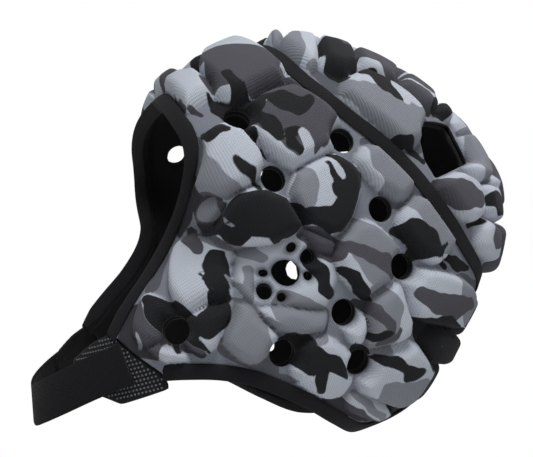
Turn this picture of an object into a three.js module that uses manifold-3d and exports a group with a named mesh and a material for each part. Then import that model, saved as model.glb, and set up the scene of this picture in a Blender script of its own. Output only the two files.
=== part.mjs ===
// Rugby scrum cap: two padded side panels, a padded crown panel, a black lining, bound edges and a chin strap.
// The cap stands as worn. +Z is up, the wearer faces -Y and +X is the wearer's left. Lengths are in millimetres.
import * as THREE from "three";
import Module from "manifold-3d";

const wasm = await Module();
wasm.setup();

// Driving sizes of the head form, which lies between lining and panels
const crownReach = 141; // ear axis to the crown, at the cloth
const halfWidth = 81; // middle plane to the side of the head, at the cloth
const fullness = 2.4; // power of the rounded section, where 2 is an ellipse

// Driving sizes of the cloth and foam
const gap = 0.3;
const slack = 1; // gap over facets that cross a curve
const innerSlack = 3; // gap inside the lining's coarser facets
const liningThick = 1;
const skinThick = 2; // panel cloth and thin foam in the valleys
const padRise = 8; // top of a full pad above the skin
const padBevel = 9; // width of a pad's rounded border
const padPower = 2.8; // corner roundness of a pad, where 2 is an ellipse
const bindingWidth = 9;
const bindingThick = 1;
const tapeWidth = 9;
const tapeThick = 1;
const patchThick = 2.4;
const strapWidth = 23;
const strapThick = 1.8;
const strapLift = 0.6; // gap under the middle of the strap

// Driving sizes of the holes
const ventRadius = 7.3;
const earHoleRadius = 7.5;
const earSideRadius = 4.2;
const earDotRadius = 2.5;

// Mesh fineness, as steps of the unrolled side view
const panelStep = 0.064;
const liningStep = 0.08;
const patchStep = 0.06;
const edgeSteps = 20;
const fineness = 0.2; // how far a facet may move when nearly flat ones are merged
const ventSides = 10;
const dotSides = 6;

// Heights above the head form
const liningBottom = -2.3;
const liningTop = liningBottom + liningThick;
const panelBottom = 1.3;
const skinTop = panelBottom + skinThick;
const overSkin = skinTop + slack;
const patchTop = patchThick;

// Head form, by direction seen from the wearer's left: 0 is back, 90 is up, 180 is the face.
// reach is a share of crownReach, and squeeze is the share by which the width changes toward the middle plane.
const headRows = [
  { toward: 0, reach: 0.79, squeeze: 0.16 },
  { toward: 22.5, reach: 0.89, squeeze: 0.26 },
  { toward: 45, reach: 1.01, squeeze: 0.26 },
  { toward: 67.5, reach: 1.02, squeeze: 0.16 },
  { toward: 90, reach: 1.0, squeeze: 0.08 },
  { toward: 112.5, reach: 0.985, squeeze: 0.05 },
  { toward: 135, reach: 0.91, squeeze: 0.11 },
  { toward: 157.5, reach: 0.845, squeeze: 0.27 },
  { toward: 180, reach: 0.605, squeeze: -0.18 },
  { toward: 202.5, reach: 0.69, squeeze: -0.39 },
  { toward: 225, reach: 1.08, squeeze: -0.26 },
  { toward: 247.5, reach: 1.18, squeeze: -0.15 },
  { toward: 270, reach: 0.99, squeeze: -0.08 },
  { toward: 292.5, reach: 0.8, squeeze: -0.05 },
  { toward: 315, reach: 0.74, squeeze: -0.01 },
  { toward: 337.5, reach: 0.79, squeeze: 0.08 },
];

// Places on the cap are shares of crownReach on the side view unrolled from the ear: along is back, up is up.
// The middle plane lies where the distance from the ear equals the reach of that direction.

// Edge of the face opening, from beyond the forehead's middle down to the strap
const faceEdge = [
  { along: -0.84, up: 0.555 },
  { along: -0.745, up: 0.458 },
  { along: -0.66, up: 0.375 },
  { along: -0.583, up: 0.3 },
  { along: -0.52, up: 0.243 },
  { along: -0.465, up: 0.195 },
  { along: -0.43, up: 0.15 },
  { along: -0.408, up: 0.09 },
  { along: -0.401, up: 0.02 },
  { along: -0.398, up: -0.06 },
  { along: -0.4, up: -0.15 },
  { along: -0.412, up: -0.24 },
  { along: -0.437, up: -0.325 },
];

// Neck edge, from the chin flap back to beyond the middle of the nape
const neckEdge = [
  { along: -0.24, up: -0.372 },
  { along: -0.207, up: -0.35 },
  { along: -0.136, up: -0.322 },
  { along: -0.052, up: -0.307 },
  { along: 0.082, up: -0.312 },
  { along: 0.2, up: -0.335 },
  { along: 0.335, up: -0.365 },
  { along: 0.44, up: -0.345 },
  { along: 0.52, up: -0.28 },
  { along: 0.6, up: -0.21 },
  { along: 0.7, up: -0.165 },
  { along: 0.86, up: -0.15 },
];

// Seam of the crown panel, from beyond the front middle back to beyond the rear middle
const crownSeam = [
  { along: -0.46, up: 1.06 },
  { along: -0.43, up: 0.87 },
  { along: -0.405, up: 0.75 },
  { along: -0.365, up: 0.66 },
  { along: -0.31, up: 0.58 },
  { along: -0.229, up: 0.488 },
  { along: -0.145, up: 0.439 },
  { along: -0.062, up: 0.403 },
  { along: 0.027, up: 0.377 },
  { along: 0.145, up: 0.332 },
  { along: 0.249, up: 0.276 },
  { along: 0.365, up: 0.224 },
  { along: 0.46, up: 0.208 },
  { along: 0.6, up: 0.205 },
  { along: 0.76, up: 0.21 },
  { along: 0.96, up: 0.215 },
];

// Dotted patch at the tip of the chin flap: its first two corners face the panel
const patchCorners = [
  { along: -0.268, up: -0.367 },
  { along: -0.427, up: -0.343 },
  { along: -0.475, up: -0.4 },
  { along: -0.52, up: -0.475 },
  { along: -0.5, up: -0.53 },
  { along: -0.373, up: -0.497 },
  { along: -0.335, up: -0.49 },
  { along: -0.24, up: -0.395 },
];

// Middle line of the chin strap, from the patch to beyond the middle of the chin
const strapLine = [
  { along: -0.345, up: -0.41 },
  { along: -0.43, up: -0.49 },
  { along: -0.52, up: -0.59 },
  { along: -0.615, up: -0.71 },
  { along: -0.725, up: -0.86 },
  { along: -0.85, up: -1.02 },
];

// Openings whose outline is not round
const openings = {
  rear: [
    { along: 0.146, up: 0.455 },
    { along: 0.165, up: 0.525 },
    { along: 0.295, up: 0.62 },
    { along: 0.285, up: 0.55 },
    { along: 0.32, up: 0.48 },
    { along: 0.2, up: 0.36 },
    { along: 0.165, up: 0.395 },
  ],
  forehead: [
    { along: -0.53, up: 0.465 },
    { along: -0.575, up: 0.62 },
    { along: -0.62, up: 0.78 },
    { along: -0.72, up: 0.68 },
    { along: -0.615, up: 0.545 },
  ],
};

// Round vents through panel and lining
const vents = [
  { along: -0.345, up: 0.28, radius: ventRadius },
  { along: -0.207, up: 0.16, radius: ventRadius },
  { along: -0.07, up: 0.33, radius: ventRadius },
  { along: 0.08, up: 0.205, radius: ventRadius },
  { along: -0.276, up: -0.26, radius: ventRadius },
  { along: -0.028, up: -0.215, radius: ventRadius },
  { along: 0.08, up: -0.068, radius: ventRadius },
  { along: 0.185, up: 0.095, radius: ventRadius },
  { along: 0.172, up: -0.163, radius: ventRadius },
  { along: -0.09, up: -0.035, radius: earHoleRadius },
  { along: -0.058, up: 0.022, radius: earSideRadius },
  { along: -0.123, up: -0.098, radius: earSideRadius },
  { along: -0.105, up: 0.028, radius: earDotRadius },
  { along: -0.135, up: -0.058, radius: earDotRadius },
  { along: -0.04, up: -0.023, radius: earDotRadius },
  { along: -0.082, up: -0.095, radius: earDotRadius },
];

// Pads of a side panel: middle, half sizes, turn in degrees from the along axis, and rise as a share of padRise
const sidePads = [
  { along: -0.415, up: 0.53, long: 0.22, wide: 0.125, turn: 118, rise: 1 },
  { along: -0.235, up: 0.455, long: 0.04, wide: 0.025, turn: -15, rise: 0.7 },
  { along: -0.21, up: 0.315, long: 0.13, wide: 0.11, turn: -15, rise: 1 },
  { along: -0.56, up: 0.39, long: 0.14, wide: 0.09, turn: 140, rise: 1 },
  { along: -0.66, up: 0.56, long: 0.1, wide: 0.09, turn: 140, rise: 1 },
  { along: -0.335, up: 0.165, long: 0.09, wide: 0.08, turn: -35, rise: 1 },
  { along: -0.31, up: 0.055, long: 0.034, wide: 0.034, turn: 0, rise: 0.6 },
  { along: -0.19, up: 0.055, long: 0.1, wide: 0.072, turn: 0, rise: 1 },
  { along: -0.075, up: 0.18, long: 0.105, wide: 0.09, turn: 90, rise: 1 },
  { along: -0.045, up: 0.058, long: 0.055, wide: 0.03, turn: -5, rise: 0.8 },
  { along: 0.06, up: 0.295, long: 0.09, wide: 0.05, turn: -15, rise: 1 },
  { along: 0.215, up: 0.205, long: 0.09, wide: 0.068, turn: -20, rise: 1 },
  { along: 0.085, up: 0.075, long: 0.09, wide: 0.085, turn: -20, rise: 1 },
  { along: -0.262, up: -0.105, long: 0.112, wide: 0.072, turn: 100, rise: 1 },
  { along: -0.335, up: -0.265, long: 0.06, wide: 0.038, turn: 90, rise: 0.8 },
  { along: -0.21, up: -0.215, long: 0.075, wide: 0.045, turn: 75, rise: 1 },
  { along: -0.27, up: -0.325, long: 0.05, wide: 0.025, turn: 10, rise: 0.8 },
  { along: -0.085, up: -0.035, long: 0.12, wide: 0.105, turn: 0, rise: 0.4 },
  { along: -0.04, up: -0.125, long: 0.09, wide: 0.042, turn: 12, rise: 0.9 },
  { along: -0.125, up: -0.205, long: 0.07, wide: 0.058, turn: -20, rise: 1 },
  { along: 0.085, up: -0.205, long: 0.09, wide: 0.07, turn: -10, rise: 1 },
  { along: 0.2, up: -0.04, long: 0.095, wide: 0.065, turn: 110, rise: 1 },
  { along: 0.34, up: 0.07, long: 0.145, wide: 0.07, turn: 10, rise: 1 },
  { along: 0.3, up: -0.15, long: 0.125, wide: 0.088, turn: 0, rise: 1 },
  { along: 0.45, up: -0.035, long: 0.13, wide: 0.055, turn: 5, rise: 0.9 },
  { along: 0.3, up: -0.262, long: 0.11, wide: 0.035, turn: -3, rise: 0.8 },
  { along: 0.125, up: -0.09, long: 0.042, wide: 0.036, turn: -30, rise: 0.8 },
  { along: 0.5, up: -0.15, long: 0.08, wide: 0.065, turn: 20, rise: 0.8 },
  { along: 0.62, up: 0.1, long: 0.14, wide: 0.07, turn: 5, rise: 1 },
  { along: 0.68, up: -0.04, long: 0.12, wide: 0.065, turn: 5, rise: 0.9 },
];

// Pads of the crown panel's left half, in the same columns
const crownPads = [
  { along: -0.25, up: 0.66, long: 0.17, wide: 0.065, turn: 97, rise: 1 },
  { along: -0.355, up: 0.8, long: 0.13, wide: 0.05, turn: 102, rise: 0.9 },
  { along: -0.235, up: 0.92, long: 0.11, wide: 0.085, turn: 100, rise: 1 },
  { along: -0.135, up: 0.7, long: 0.17, wide: 0.068, turn: 92, rise: 1 },
  { along: 0.0, up: 0.72, long: 0.12, wide: 0.088, turn: 90, rise: 1 },
  { along: -0.03, up: 0.93, long: 0.12, wide: 0.095, turn: 0, rise: 1 },
  { along: 0.02, up: 0.49, long: 0.135, wide: 0.1, turn: -15, rise: 1 },
  { along: 0.155, up: 0.67, long: 0.105, wide: 0.08, turn: 60, rise: 1 },
  { along: 0.2, up: 0.88, long: 0.12, wide: 0.11, turn: 70, rise: 1 },
  { along: 0.27, up: 0.68, long: 0.07, wide: 0.045, turn: 45, rise: 0.9 },
  { along: 0.375, up: 0.53, long: 0.115, wide: 0.08, turn: 50, rise: 1 },
  { along: 0.42, up: 0.76, long: 0.14, wide: 0.11, turn: 55, rise: 1 },
  { along: 0.3, up: 0.345, long: 0.09, wide: 0.065, turn: 10, rise: 1 },
  { along: 0.45, up: 0.415, long: 0.085, wide: 0.06, turn: 25, rise: 1 },
  { along: 0.47, up: 0.3, long: 0.1, wide: 0.055, turn: 15, rise: 1 },
  { along: 0.56, up: 0.58, long: 0.13, wide: 0.1, turn: 40, rise: 1 },
  { along: 0.66, up: 0.38, long: 0.13, wide: 0.09, turn: 25, rise: 1 },
];

const colours = {
  camo: { color: 0x8f8d92, roughness: 0.85, metalness: 0 },
  lining: { color: 0x17181b, roughness: 0.95, metalness: 0 },
  trim: { color: 0x1b1c20, roughness: 0.85, metalness: 0 },
  patch: { color: 0x232428, roughness: 0.6, metalness: 0 },
};

const degrees = Math.PI / 180;
const unrolled = (crownReach * Math.PI) / 2; // length of one share of the side view beside the ear
const middle = 1e-7; // nearness that counts as lying on the middle plane

// A column of the head table, interpolated smoothly around the ear
function around(column, angle) {
  const count = headRows.length;
  const place = ((((angle / degrees) % 360) + 360) % 360) / (360 / count);
  const row = Math.floor(place);
  const t = place - row;
  const [a, b, c, d] = [-1, 0, 1, 2].map(
    (step) => headRows[(row + step + count) % count][column],
  );
  const cubic = -a + 3 * b - 3 * c + d;
  const square = 2 * a - 5 * b + 4 * c - d;
  return 0.5 * (2 * b + (c - a) * t + square * t * t + cubic * t * t * t);
}

const reachAt = (along, up) => around("reach", Math.atan2(up, along));

// Point on the head form for a place on the left half
function headPoint(along, up) {
  const angle = Math.atan2(up, along);
  const reach = around("reach", angle);
  const swing = ((Math.hypot(along, up) / reach) * Math.PI) / 2;
  const side = Math.cos(swing);
  const out = Math.sin(swing);
  const sum = Math.abs(side) ** fullness + Math.abs(out) ** fullness;
  const outward = out * sum ** (-1 / fullness);
  const width = 1 + around("squeeze", angle) * outward * outward;
  return new THREE.Vector3(
    halfWidth * width * side * sum ** (-1 / fullness),
    crownReach * reach * outward * Math.cos(angle),
    crownReach * reach * outward * Math.sin(angle),
  );
}

// Outward normal of the head at a place
function headNormal(along, up) {
  const step = 1e-3;
  const back = headPoint(along + step, up).sub(headPoint(along - step, up));
  const above = headPoint(along, up + step).sub(headPoint(along, up - step));
  return back.cross(above).normalize();
}

const onMiddle = (along, up) => Math.abs(Math.hypot(along, up) - reachAt(along, up)) < middle;

// Point at a height above the head form; on the middle plane it stays there
function lifted(along, up, height) {
  const point = headPoint(along, up).addScaledVector(headNormal(along, up), height);
  if (onMiddle(along, up)) point.x = 0;
  return point;
}

// Millimetres for one share of the side view at a place
function scaleAt(along, up) {
  const step = 1e-3;
  const back = headPoint(along + step, up).sub(headPoint(along - step, up));
  const above = headPoint(along, up + step).sub(headPoint(along, up - step));
  return Math.sqrt(back.cross(above).length()) / (2 * step);
}

const flat = (place) => new THREE.Vector2(place.along, place.up);

// A smooth line through hand-placed points of the side view
const smoothLine = (places, steps) => new THREE.SplineCurve(places.map(flat)).getPoints(steps);

// Distance from a place to an outline in millimetres, positive inside
function insideBy(outline, along, up) {
  let nearest = Infinity;
  let inside = false;
  for (let i = 0, j = outline.length - 1; i < outline.length; j = i, i += 1) {
    const [a, b] = [outline[j], outline[i]];
    const [runX, runY] = [b.x - a.x, b.y - a.y];
    const t = ((along - a.x) * runX + (up - a.y) * runY) / (runX * runX + runY * runY);
    const held = Math.min(Math.max(t, 0), 1);
    nearest = Math.min(nearest, Math.hypot(along - a.x - held * runX, up - a.y - held * runY));
    if (a.y > up !== b.y > up && along < a.x + ((up - a.y) / runY) * runX) inside = !inside;
  }
  return (inside ? nearest : -nearest) * scaleAt(along, up);
}

// Outlines that bound the panels; the far corners lie well beyond the middle plane
const lineSteps = 60;
const faceLine = smoothLine(faceEdge, lineSteps);
const neckLine = smoothLine(neckEdge, lineSteps);
const seamLine = smoothLine(crownSeam, lineSteps);
const beyond = 1.6;
const capOutline = [
  ...faceLine,
  ...neckLine,
  new THREE.Vector2(beyond, neckLine.at(-1).y),
  new THREE.Vector2(beyond, beyond),
  new THREE.Vector2(-beyond, beyond),
];
const crownOutline = [
  ...seamLine,
  new THREE.Vector2(beyond, seamLine.at(-1).y),
  new THREE.Vector2(beyond, beyond),
  new THREE.Vector2(seamLine[0].x, beyond),
];
const patchOutline = patchCorners.map(flat);
const rearOutline = openings.rear.map(flat);
const foreheadOutline = openings.forehead.map(flat);

// Rules that keep a place, positive where it is kept
const keeps = {
  half: (along, up) => (reachAt(along, up) - Math.hypot(along, up)) * unrolled,
  apart: (along, up) => keeps.half(along, up) - gap,
  rim: (along, up) => insideBy(capOutline, along, up),
  insideRim: (along, up) => keeps.rim(along, up) - slack,
  offPatch: (along, up) => -insideBy(patchOutline, along, up) - gap,
  inPatch: (along, up) => insideBy(patchOutline, along, up),
  side: (along, up) => -insideBy(crownOutline, along, up) - gap,
  crown: (along, up) => insideBy(crownOutline, along, up),
  rear: (along, up) => -insideBy(rearOutline, along, up),
  forehead: (along, up) => -insideBy(foreheadOutline, along, up),
};

// How far inside a pad a place lies, in millimetres
function insidePad(pad, along, up) {
  const turn = pad.turn * degrees;
  const [x, y] = [along - pad.along, up - pad.up];
  const u = Math.abs(x * Math.cos(turn) + y * Math.sin(turn)) / pad.long;
  const v = Math.abs(y * Math.cos(turn) - x * Math.sin(turn)) / pad.wide;
  const reach = (u ** padPower + v ** padPower) ** (1 / padPower);
  return (1 - reach) * Math.sqrt(pad.long * pad.wide) * scaleAt(pad.along, pad.up);
}

// Height of the pads above the skin: neighbours meet in a valley, and pads end short of every edge
function padHeight(pads, edges, along, up) {
  let best = { depth: -Infinity, rise: 0 };
  let next = -Infinity;
  for (const pad of pads) {
    const depth = insidePad(pad, along, up);
    if (depth > best.depth) {
      next = best.depth;
      best = { depth, rise: pad.rise };
    } else next = Math.max(next, depth);
  }
  const fromEdge = Math.min(...Object.values(edges).map((edge) => edge(along, up)));
  const depth = Math.min(best.depth, (best.depth - next) / 2, fromEdge);
  const t = Math.min(Math.max(depth / padBevel, 0), 1);
  return padRise * best.rise * (1 - (1 - t) ** 2);
}

// Flat triangles over a square grid of the side view
function gridTriangles(step) {
  const places = [];
  const triangles = [];
  const [left, right, bottom, top] = [-1, 1.05, -0.7, 1.08];
  const columns = Math.ceil((right - left) / step);
  const rows = Math.ceil((top - bottom) / step);
  for (let j = 0; j <= rows; j += 1)
    for (let i = 0; i <= columns; i += 1) places.push({ x: left + i * step, y: bottom + j * step });
  for (let j = 0; j < rows; j += 1)
    for (let i = 0; i < columns; i += 1) {
      const a = j * (columns + 1) + i;
      const [b, c, d] = [a + 1, a + columns + 1, a + columns + 2];
      if ((i + j) % 2) triangles.push([a, b, d], [a, d, c]);
      else triangles.push([a, b, c], [b, d, c]);
    }
  return { places, triangles };
}

// Grid corners close to the rule's border move onto it, so no sliver is cut there
function snap(mesh, keep, step) {
  const near = 0.28 * step * unrolled;
  const nudge = 1e-4;
  for (const place of mesh.places) {
    if (place.fixed) continue;
    let value = keep(place.x, place.y);
    if (Math.abs(value) > near) continue;
    for (let round = 0; round < 4; round += 1) {
      const slopeX = (keep(place.x + nudge, place.y) - keep(place.x - nudge, place.y)) / (2 * nudge);
      const slopeY = (keep(place.x, place.y + nudge) - keep(place.x, place.y - nudge)) / (2 * nudge);
      const steep = Math.max(slopeX * slopeX + slopeY * slopeY, 1);
      place.x -= (value * slopeX) / steep;
      place.y -= (value * slopeY) / steep;
      value = keep(place.x, place.y);
    }
    place.fixed = true;
    place.settled = keep;
  }
}

// Cuts the triangles along a rule's border, and keeps the part inside it or both parts
function cutAlong(mesh, keep, step, bothSides) {
  snap(mesh, keep, step);
  const values = mesh.places.map((p) => (p.settled === keep ? 0 : keep(p.x, p.y)));
  const cuts = new Map();
  const cutBetween = (a, b) => {
    const key = a < b ? a + "_" + b : b + "_" + a;
    if (!cuts.has(key)) {
      const [p, q] = [mesh.places[a], mesh.places[b]];
      let [low, high] = values[a] > 0 ? [1, 0] : [0, 1];
      for (let round = 0; round < 40; round += 1) {
        const t = (low + high) / 2;
        if (keep(p.x + (q.x - p.x) * t, p.y + (q.y - p.y) * t) > 0) high = t;
        else low = t;
      }
      mesh.places.push({ x: p.x + (q.x - p.x) * high, y: p.y + (q.y - p.y) * high, fixed: true });
      values.push(0);
      cuts.set(key, mesh.places.length - 1);
    }
    return cuts.get(key);
  };
  const partOf = (triangle, sign) => {
    if (!triangle.some((a) => sign * values[a] > 0)) return [];
    const corners = [];
    triangle.forEach((a, i) => {
      const b = triangle[(i + 1) % 3];
      if (sign * values[a] >= 0) corners.push(a);
      if (values[a] * values[b] < 0) corners.push(cutBetween(a, b));
    });
    return corners.slice(2).map((corner, i) => [corners[0], corners[i + 1], corner]);
  };
  const triangles = mesh.triangles.flatMap((triangle) => [
    ...partOf(triangle, 1),
    ...(bothSides ? partOf(triangle, -1) : []),
  ]);
  return { places: mesh.places, triangles };
}

// Places a hair's breadth from the middle plane move onto it
function settleOnMiddle({ places }) {
  const hair = 0.1;
  for (const place of places) {
    if (Math.abs(keeps.half(place.x, place.y)) > hair) continue;
    const grow = reachAt(place.x, place.y) / Math.hypot(place.x, place.y);
    place.x *= grow;
    place.y *= grow;
  }
}

// Triangles of the side view that all the rules keep, with edges along the borders of the scores
function region(step, rules, scores = []) {
  const kept = rules.reduce((mesh, keep) => cutAlong(mesh, keep, step, false), gridTriangles(step));
  const scored = scores.reduce((mesh, score) => cutAlong(mesh, score, step, true), kept);
  settleOnMiddle(scored);
  return scored;
}

// A closed wall between two heights over flat triangles; edges on the middle plane stay open
function wallSolid(mesh, bottomHeight, topHeight) {
  const used = [...new Set(mesh.triangles.flat())];
  const order = new Map(used.map((a, i) => [a, i]));
  const positions = [];
  for (const height of [bottomHeight, topHeight])
    for (const a of used) {
      const { x, y } = mesh.places[a];
      positions.push(...lifted(x, y, height(x, y)).toArray());
    }
  const top = used.length;
  const faces = [];
  const sides = new Map();
  for (const [a, b, c] of mesh.triangles.map((t) => t.map((v) => order.get(v)))) {
    faces.push([a, c, b], [a + top, b + top, c + top]);
    for (const [from, to] of [[a, b], [b, c], [c, a]]) {
      const back = to + "_" + from;
      if (sides.has(back)) sides.delete(back);
      else sides.set(from + "_" + to, [from, to]);
    }
  }
  const isMiddle = (i) => onMiddle(mesh.places[used[i]].x, mesh.places[used[i]].y);
  for (const [from, to] of sides.values())
    if (!(isMiddle(from) && isMiddle(to))) faces.push([from, to, to + top], [from, to + top, from + top]);
  return { positions, faces };
}

const mirroredWall = ({ positions, faces }) => ({
  positions: positions.map((value, i) => (i % 3 ? value : -value)),
  faces: faces.map(([a, b, c]) => [a, c, b]),
});

// Both halves of a wall as one body
function joined(wall) {
  const other = mirroredWall(wall);
  const shift = wall.positions.length / 3;
  return {
    positions: [...wall.positions, ...other.positions],
    faces: [...wall.faces, ...other.faces.map((face) => face.map((v) => v + shift))],
  };
}

// Walls and meshes as solids for cutting, and back as geometry
function toSolid({ positions, faces }) {
  const keys = new Map();
  const points = [];
  const merged = [];
  for (let i = 0; i < positions.length; i += 3) {
    const key = positions.slice(i, i + 3).map((v) => Math.round(v * 1e4)).join("_");
    if (!keys.has(key)) {
      keys.set(key, points.length / 3);
      points.push(...positions.slice(i, i + 3));
    }
    merged.push(keys.get(key));
  }
  const triVerts = faces
    .map((face) => face.map((v) => merged[v]))
    .filter(([a, b, c]) => a !== b && b !== c && c !== a);
  return new wasm.Manifold(
    new wasm.Mesh({
      numProp: 3,
      vertProperties: new Float32Array(points),
      triVerts: new Uint32Array(triVerts.flat()),
    }),
  );
}

function toGeometry(solid) {
  const { vertProperties, triVerts } = solid.getMesh();
  const geometry = new THREE.BufferGeometry();
  geometry.setAttribute("position", new THREE.BufferAttribute(vertProperties, 3));
  geometry.setIndex(new THREE.BufferAttribute(triVerts, 1));
  geometry.computeVertexNormals();
  return geometry;
}

// A straight prism along the head's normal at a vent
function ventPlug(vent) {
  const depth = 30;
  const sides = vent.radius < earSideRadius ? dotSides : ventSides;
  const plug = new THREE.CylinderGeometry(vent.radius, vent.radius, depth, sides);
  const normal = headNormal(vent.along, vent.up);
  plug.applyQuaternion(new THREE.Quaternion().setFromUnitVectors(new THREE.Vector3(0, 1, 0), normal));
  plug.translate(...headPoint(vent.along, vent.up).addScaledVector(normal, skinTop).toArray());
  const positions = [...plug.attributes.position.array];
  const index = [...plug.index.array];
  const faces = Array.from({ length: index.length / 3 }, (_, i) => index.slice(3 * i, 3 * i + 3));
  return { positions, faces };
}

const ventWalls = vents.map(ventPlug);

// A strip across a line of places: the section's points are (inward, height) pairs in millimetres
function sweptStrip(line, inwardTurn, section) {
  const rings = line.map((place, i) => {
    const before = line[Math.max(i - 1, 0)];
    const after = line[Math.min(i + 1, line.length - 1)];
    const run = after.clone().sub(before).normalize();
    const inward = new THREE.Vector2(-run.y, run.x).multiplyScalar(inwardTurn);
    const step = 0.02;
    const here = headPoint(place.x, place.y);
    const there = headPoint(place.x + inward.x * step, place.y + inward.y * step);
    const scale = step / there.distanceTo(here);
    return section.map(([across, height]) => {
      const [x, y] = [place.x + inward.x * across * scale, place.y + inward.y * across * scale];
      return lifted(x, y, height);
    });
  });
  return rings;
}

// A tube over rings of points; an end on the middle plane stays open
function ringsWall(rings, section, closed) {
  const count = rings[0].length;
  const positions = rings.flat().flatMap((p) => p.toArray());
  const faces = [];
  for (let i = 0; i + 1 < rings.length; i += 1)
    for (let j = 0; j < count; j += 1) {
      const k = (j + 1) % count;
      const [a, b, c, d] = [i * count + j, i * count + k, (i + 1) * count + j, (i + 1) * count + k];
      faces.push([a, b, d], [a, d, c]);
    }
  const contour = sectionTriangles(section);
  const last = (rings.length - 1) * count;
  if (closed.start) faces.push(...contour.map(([a, b, c]) => [a, c, b]));
  if (closed.end) faces.push(...contour.map((face) => face.map((v) => v + last)));
  return { positions, faces };
}

const sectionTriangles = (section) =>
  THREE.ShapeUtils.triangulateShape(section.map(([x, y]) => new THREE.Vector2(x, y)), []);

// The stretch of a line on the kept half, ending exactly on the middle plane
function halfLine(line, steps) {
  const curve = new THREE.SplineCurve(line.map(flat));
  const reachLeft = (t) => {
    const p = curve.getPoint(t);
    return reachAt(p.x, p.y) - p.length();
  };
  const crossing = (inside, outside) => {
    let [low, high] = [inside, outside];
    for (let round = 0; round < 50; round += 1) {
      const t = (low + high) / 2;
      if (reachLeft(t) > 0) low = t;
      else high = t;
    }
    return low;
  };
  const start = reachLeft(0) > 0 ? 0 : crossing(0.5, 0);
  const end = reachLeft(1) > 0 ? 1 : crossing(0.5, 1);
  return Array.from({ length: steps + 1 }, (_, i) => curve.getPoint(start + ((end - start) * i) / steps));
}

// Sets the points of a ring on the middle plane
function flattenRing(ring) {
  for (const point of ring) point.x = 0;
}

// Section of a bound edge: a channel that holds panel and lining between its legs
const channelSection = (panelTop) => {
  const [out, over] = [slack + bindingThick, bindingWidth];
  const [inner, outer] = [liningBottom - innerSlack, panelTop + slack];
  return [
    [-out, inner - bindingThick],
    [over, inner - bindingThick],
    [over, inner],
    [-slack, inner],
    [-slack, outer],
    [over, outer],
    [over, outer + bindingThick],
    [-out, outer + bindingThick],
  ];
};

// Section of a flat band that follows the head in a few chords across its width
function flatSection(width, bottom, thick, chords) {
  const across = Array.from({ length: chords + 1 }, (_, i) => width * (i / chords - 0.5));
  return [
    ...across.map((x) => [x, bottom]),
    ...across.toReversed().map((x) => [x, bottom + thick]),
  ];
}

// Bound edge of the face opening, over both halves
function faceBinding() {
  const section = channelSection(skinTop);
  const rings = sweptStrip(halfLine(faceEdge, edgeSteps), 1, section);
  flattenRing(rings[0]);
  return joined(ringsWall(rings, section, { end: true }));
}

// Bound neck edge, over both halves
function neckBinding() {
  const section = channelSection(skinTop);
  const rings = sweptStrip(halfLine(neckEdge, edgeSteps), 1, section);
  flattenRing(rings.at(-1));
  return joined(ringsWall(rings, section, { start: true }));
}

// Tape over the crown seam, one closed loop over both halves
function seamTape() {
  const section = flatSection(tapeWidth, overSkin, tapeThick, 1);
  const rings = sweptStrip(halfLine(crownSeam, edgeSteps), 1, section);
  flattenRing(rings[0]);
  flattenRing(rings.at(-1));
  return joined(ringsWall(rings, section, {}));
}

// Chin strap from patch to patch around the chin: webbing that stays straight across its width
function chinStrap() {
  const section = flatSection(strapWidth, 0, strapThick, 1);
  const places = halfLine(strapLine, edgeSteps);
  const middles = places.map(({ x, y }) => lifted(x, y, patchTop + strapLift));
  const rings = middles.map((point, i) => {
    const run = middles[Math.min(i + 1, edgeSteps)].clone().sub(middles[Math.max(i - 1, 0)]);
    const normal = headNormal(places[i].x, places[i].y);
    const across = normal.clone().cross(run).normalize();
    return section.map(([wide, high]) =>
      point.clone().addScaledVector(across, wide).addScaledVector(normal, high),
    );
  });
  flattenRing(rings.at(-1));
  return joined(ringsWall(rings, section, { start: true }));
}

// Borders where the pads end
const edgeMargin = 1.5;
const padEdges = {
  rim: (along, up) => keeps.rim(along, up) - bindingWidth - edgeMargin,
  seam: (along, up) => Math.abs(insideBy(crownOutline, along, up)) - tapeWidth / 2 - edgeMargin,
  patch: (along, up) => keeps.offPatch(along, up) - edgeMargin,
  rear: (along, up) => keeps.rear(along, up),
  forehead: (along, up) => keeps.forehead(along, up),
};
const flatAt = (height) => () => height;
const padTop = (pads) => (along, up) => skinTop + padHeight(pads, padEdges, along, up);

function sidePanel() {
  const { apart, rim, offPatch, side, forehead } = keeps;
  const mesh = region(panelStep, [apart, rim, side, offPatch, forehead], [padEdges.rim, padEdges.seam]);
  return wallSolid(mesh, flatAt(panelBottom), padTop(sidePads));
}

function crownPanel() {
  const mesh = region(panelStep, [keeps.half, keeps.crown, keeps.rear], [padEdges.seam]);
  return joined(wallSolid(mesh, flatAt(panelBottom), padTop(crownPads)));
}

function liningShell() {
  const { half, insideRim, offPatch, rear, forehead } = keeps;
  const mesh = region(liningStep, [half, insideRim, offPatch, rear, forehead]);
  return joined(wallSolid(mesh, flatAt(liningBottom), flatAt(liningTop)));
}

function strapPatch() {
  return wallSolid(region(patchStep, [keeps.inPatch]), flatAt(0), flatAt(patchTop));
}

// Cuts the vents through a wall, on its own half or on both
function vented(wall, halves) {
  return halves.reduce(
    (solid, half) => ventWalls.reduce((cut, plug) => cut.subtract(toSolid(half(plug))), solid),
    toSolid(wall),
  );
}

const same = (wall) => wall;

// Where the head rests against the crown, inside the lining, which is the part's origin
const seatPlace = new THREE.Vector2(0.057, 1).setLength(reachAt(0.057, 1));
const seat = lifted(seatPlace.x, seatPlace.y, liningBottom);

function piece(name, solid, finish) {
  const merged = solid.asOriginal().simplify(fineness);
  const mesh = new THREE.Mesh(toGeometry(merged), new THREE.MeshStandardMaterial(finish));
  mesh.name = name;
  mesh.position.set(0, -seat.y, -seat.z);
  return mesh;
}

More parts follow.
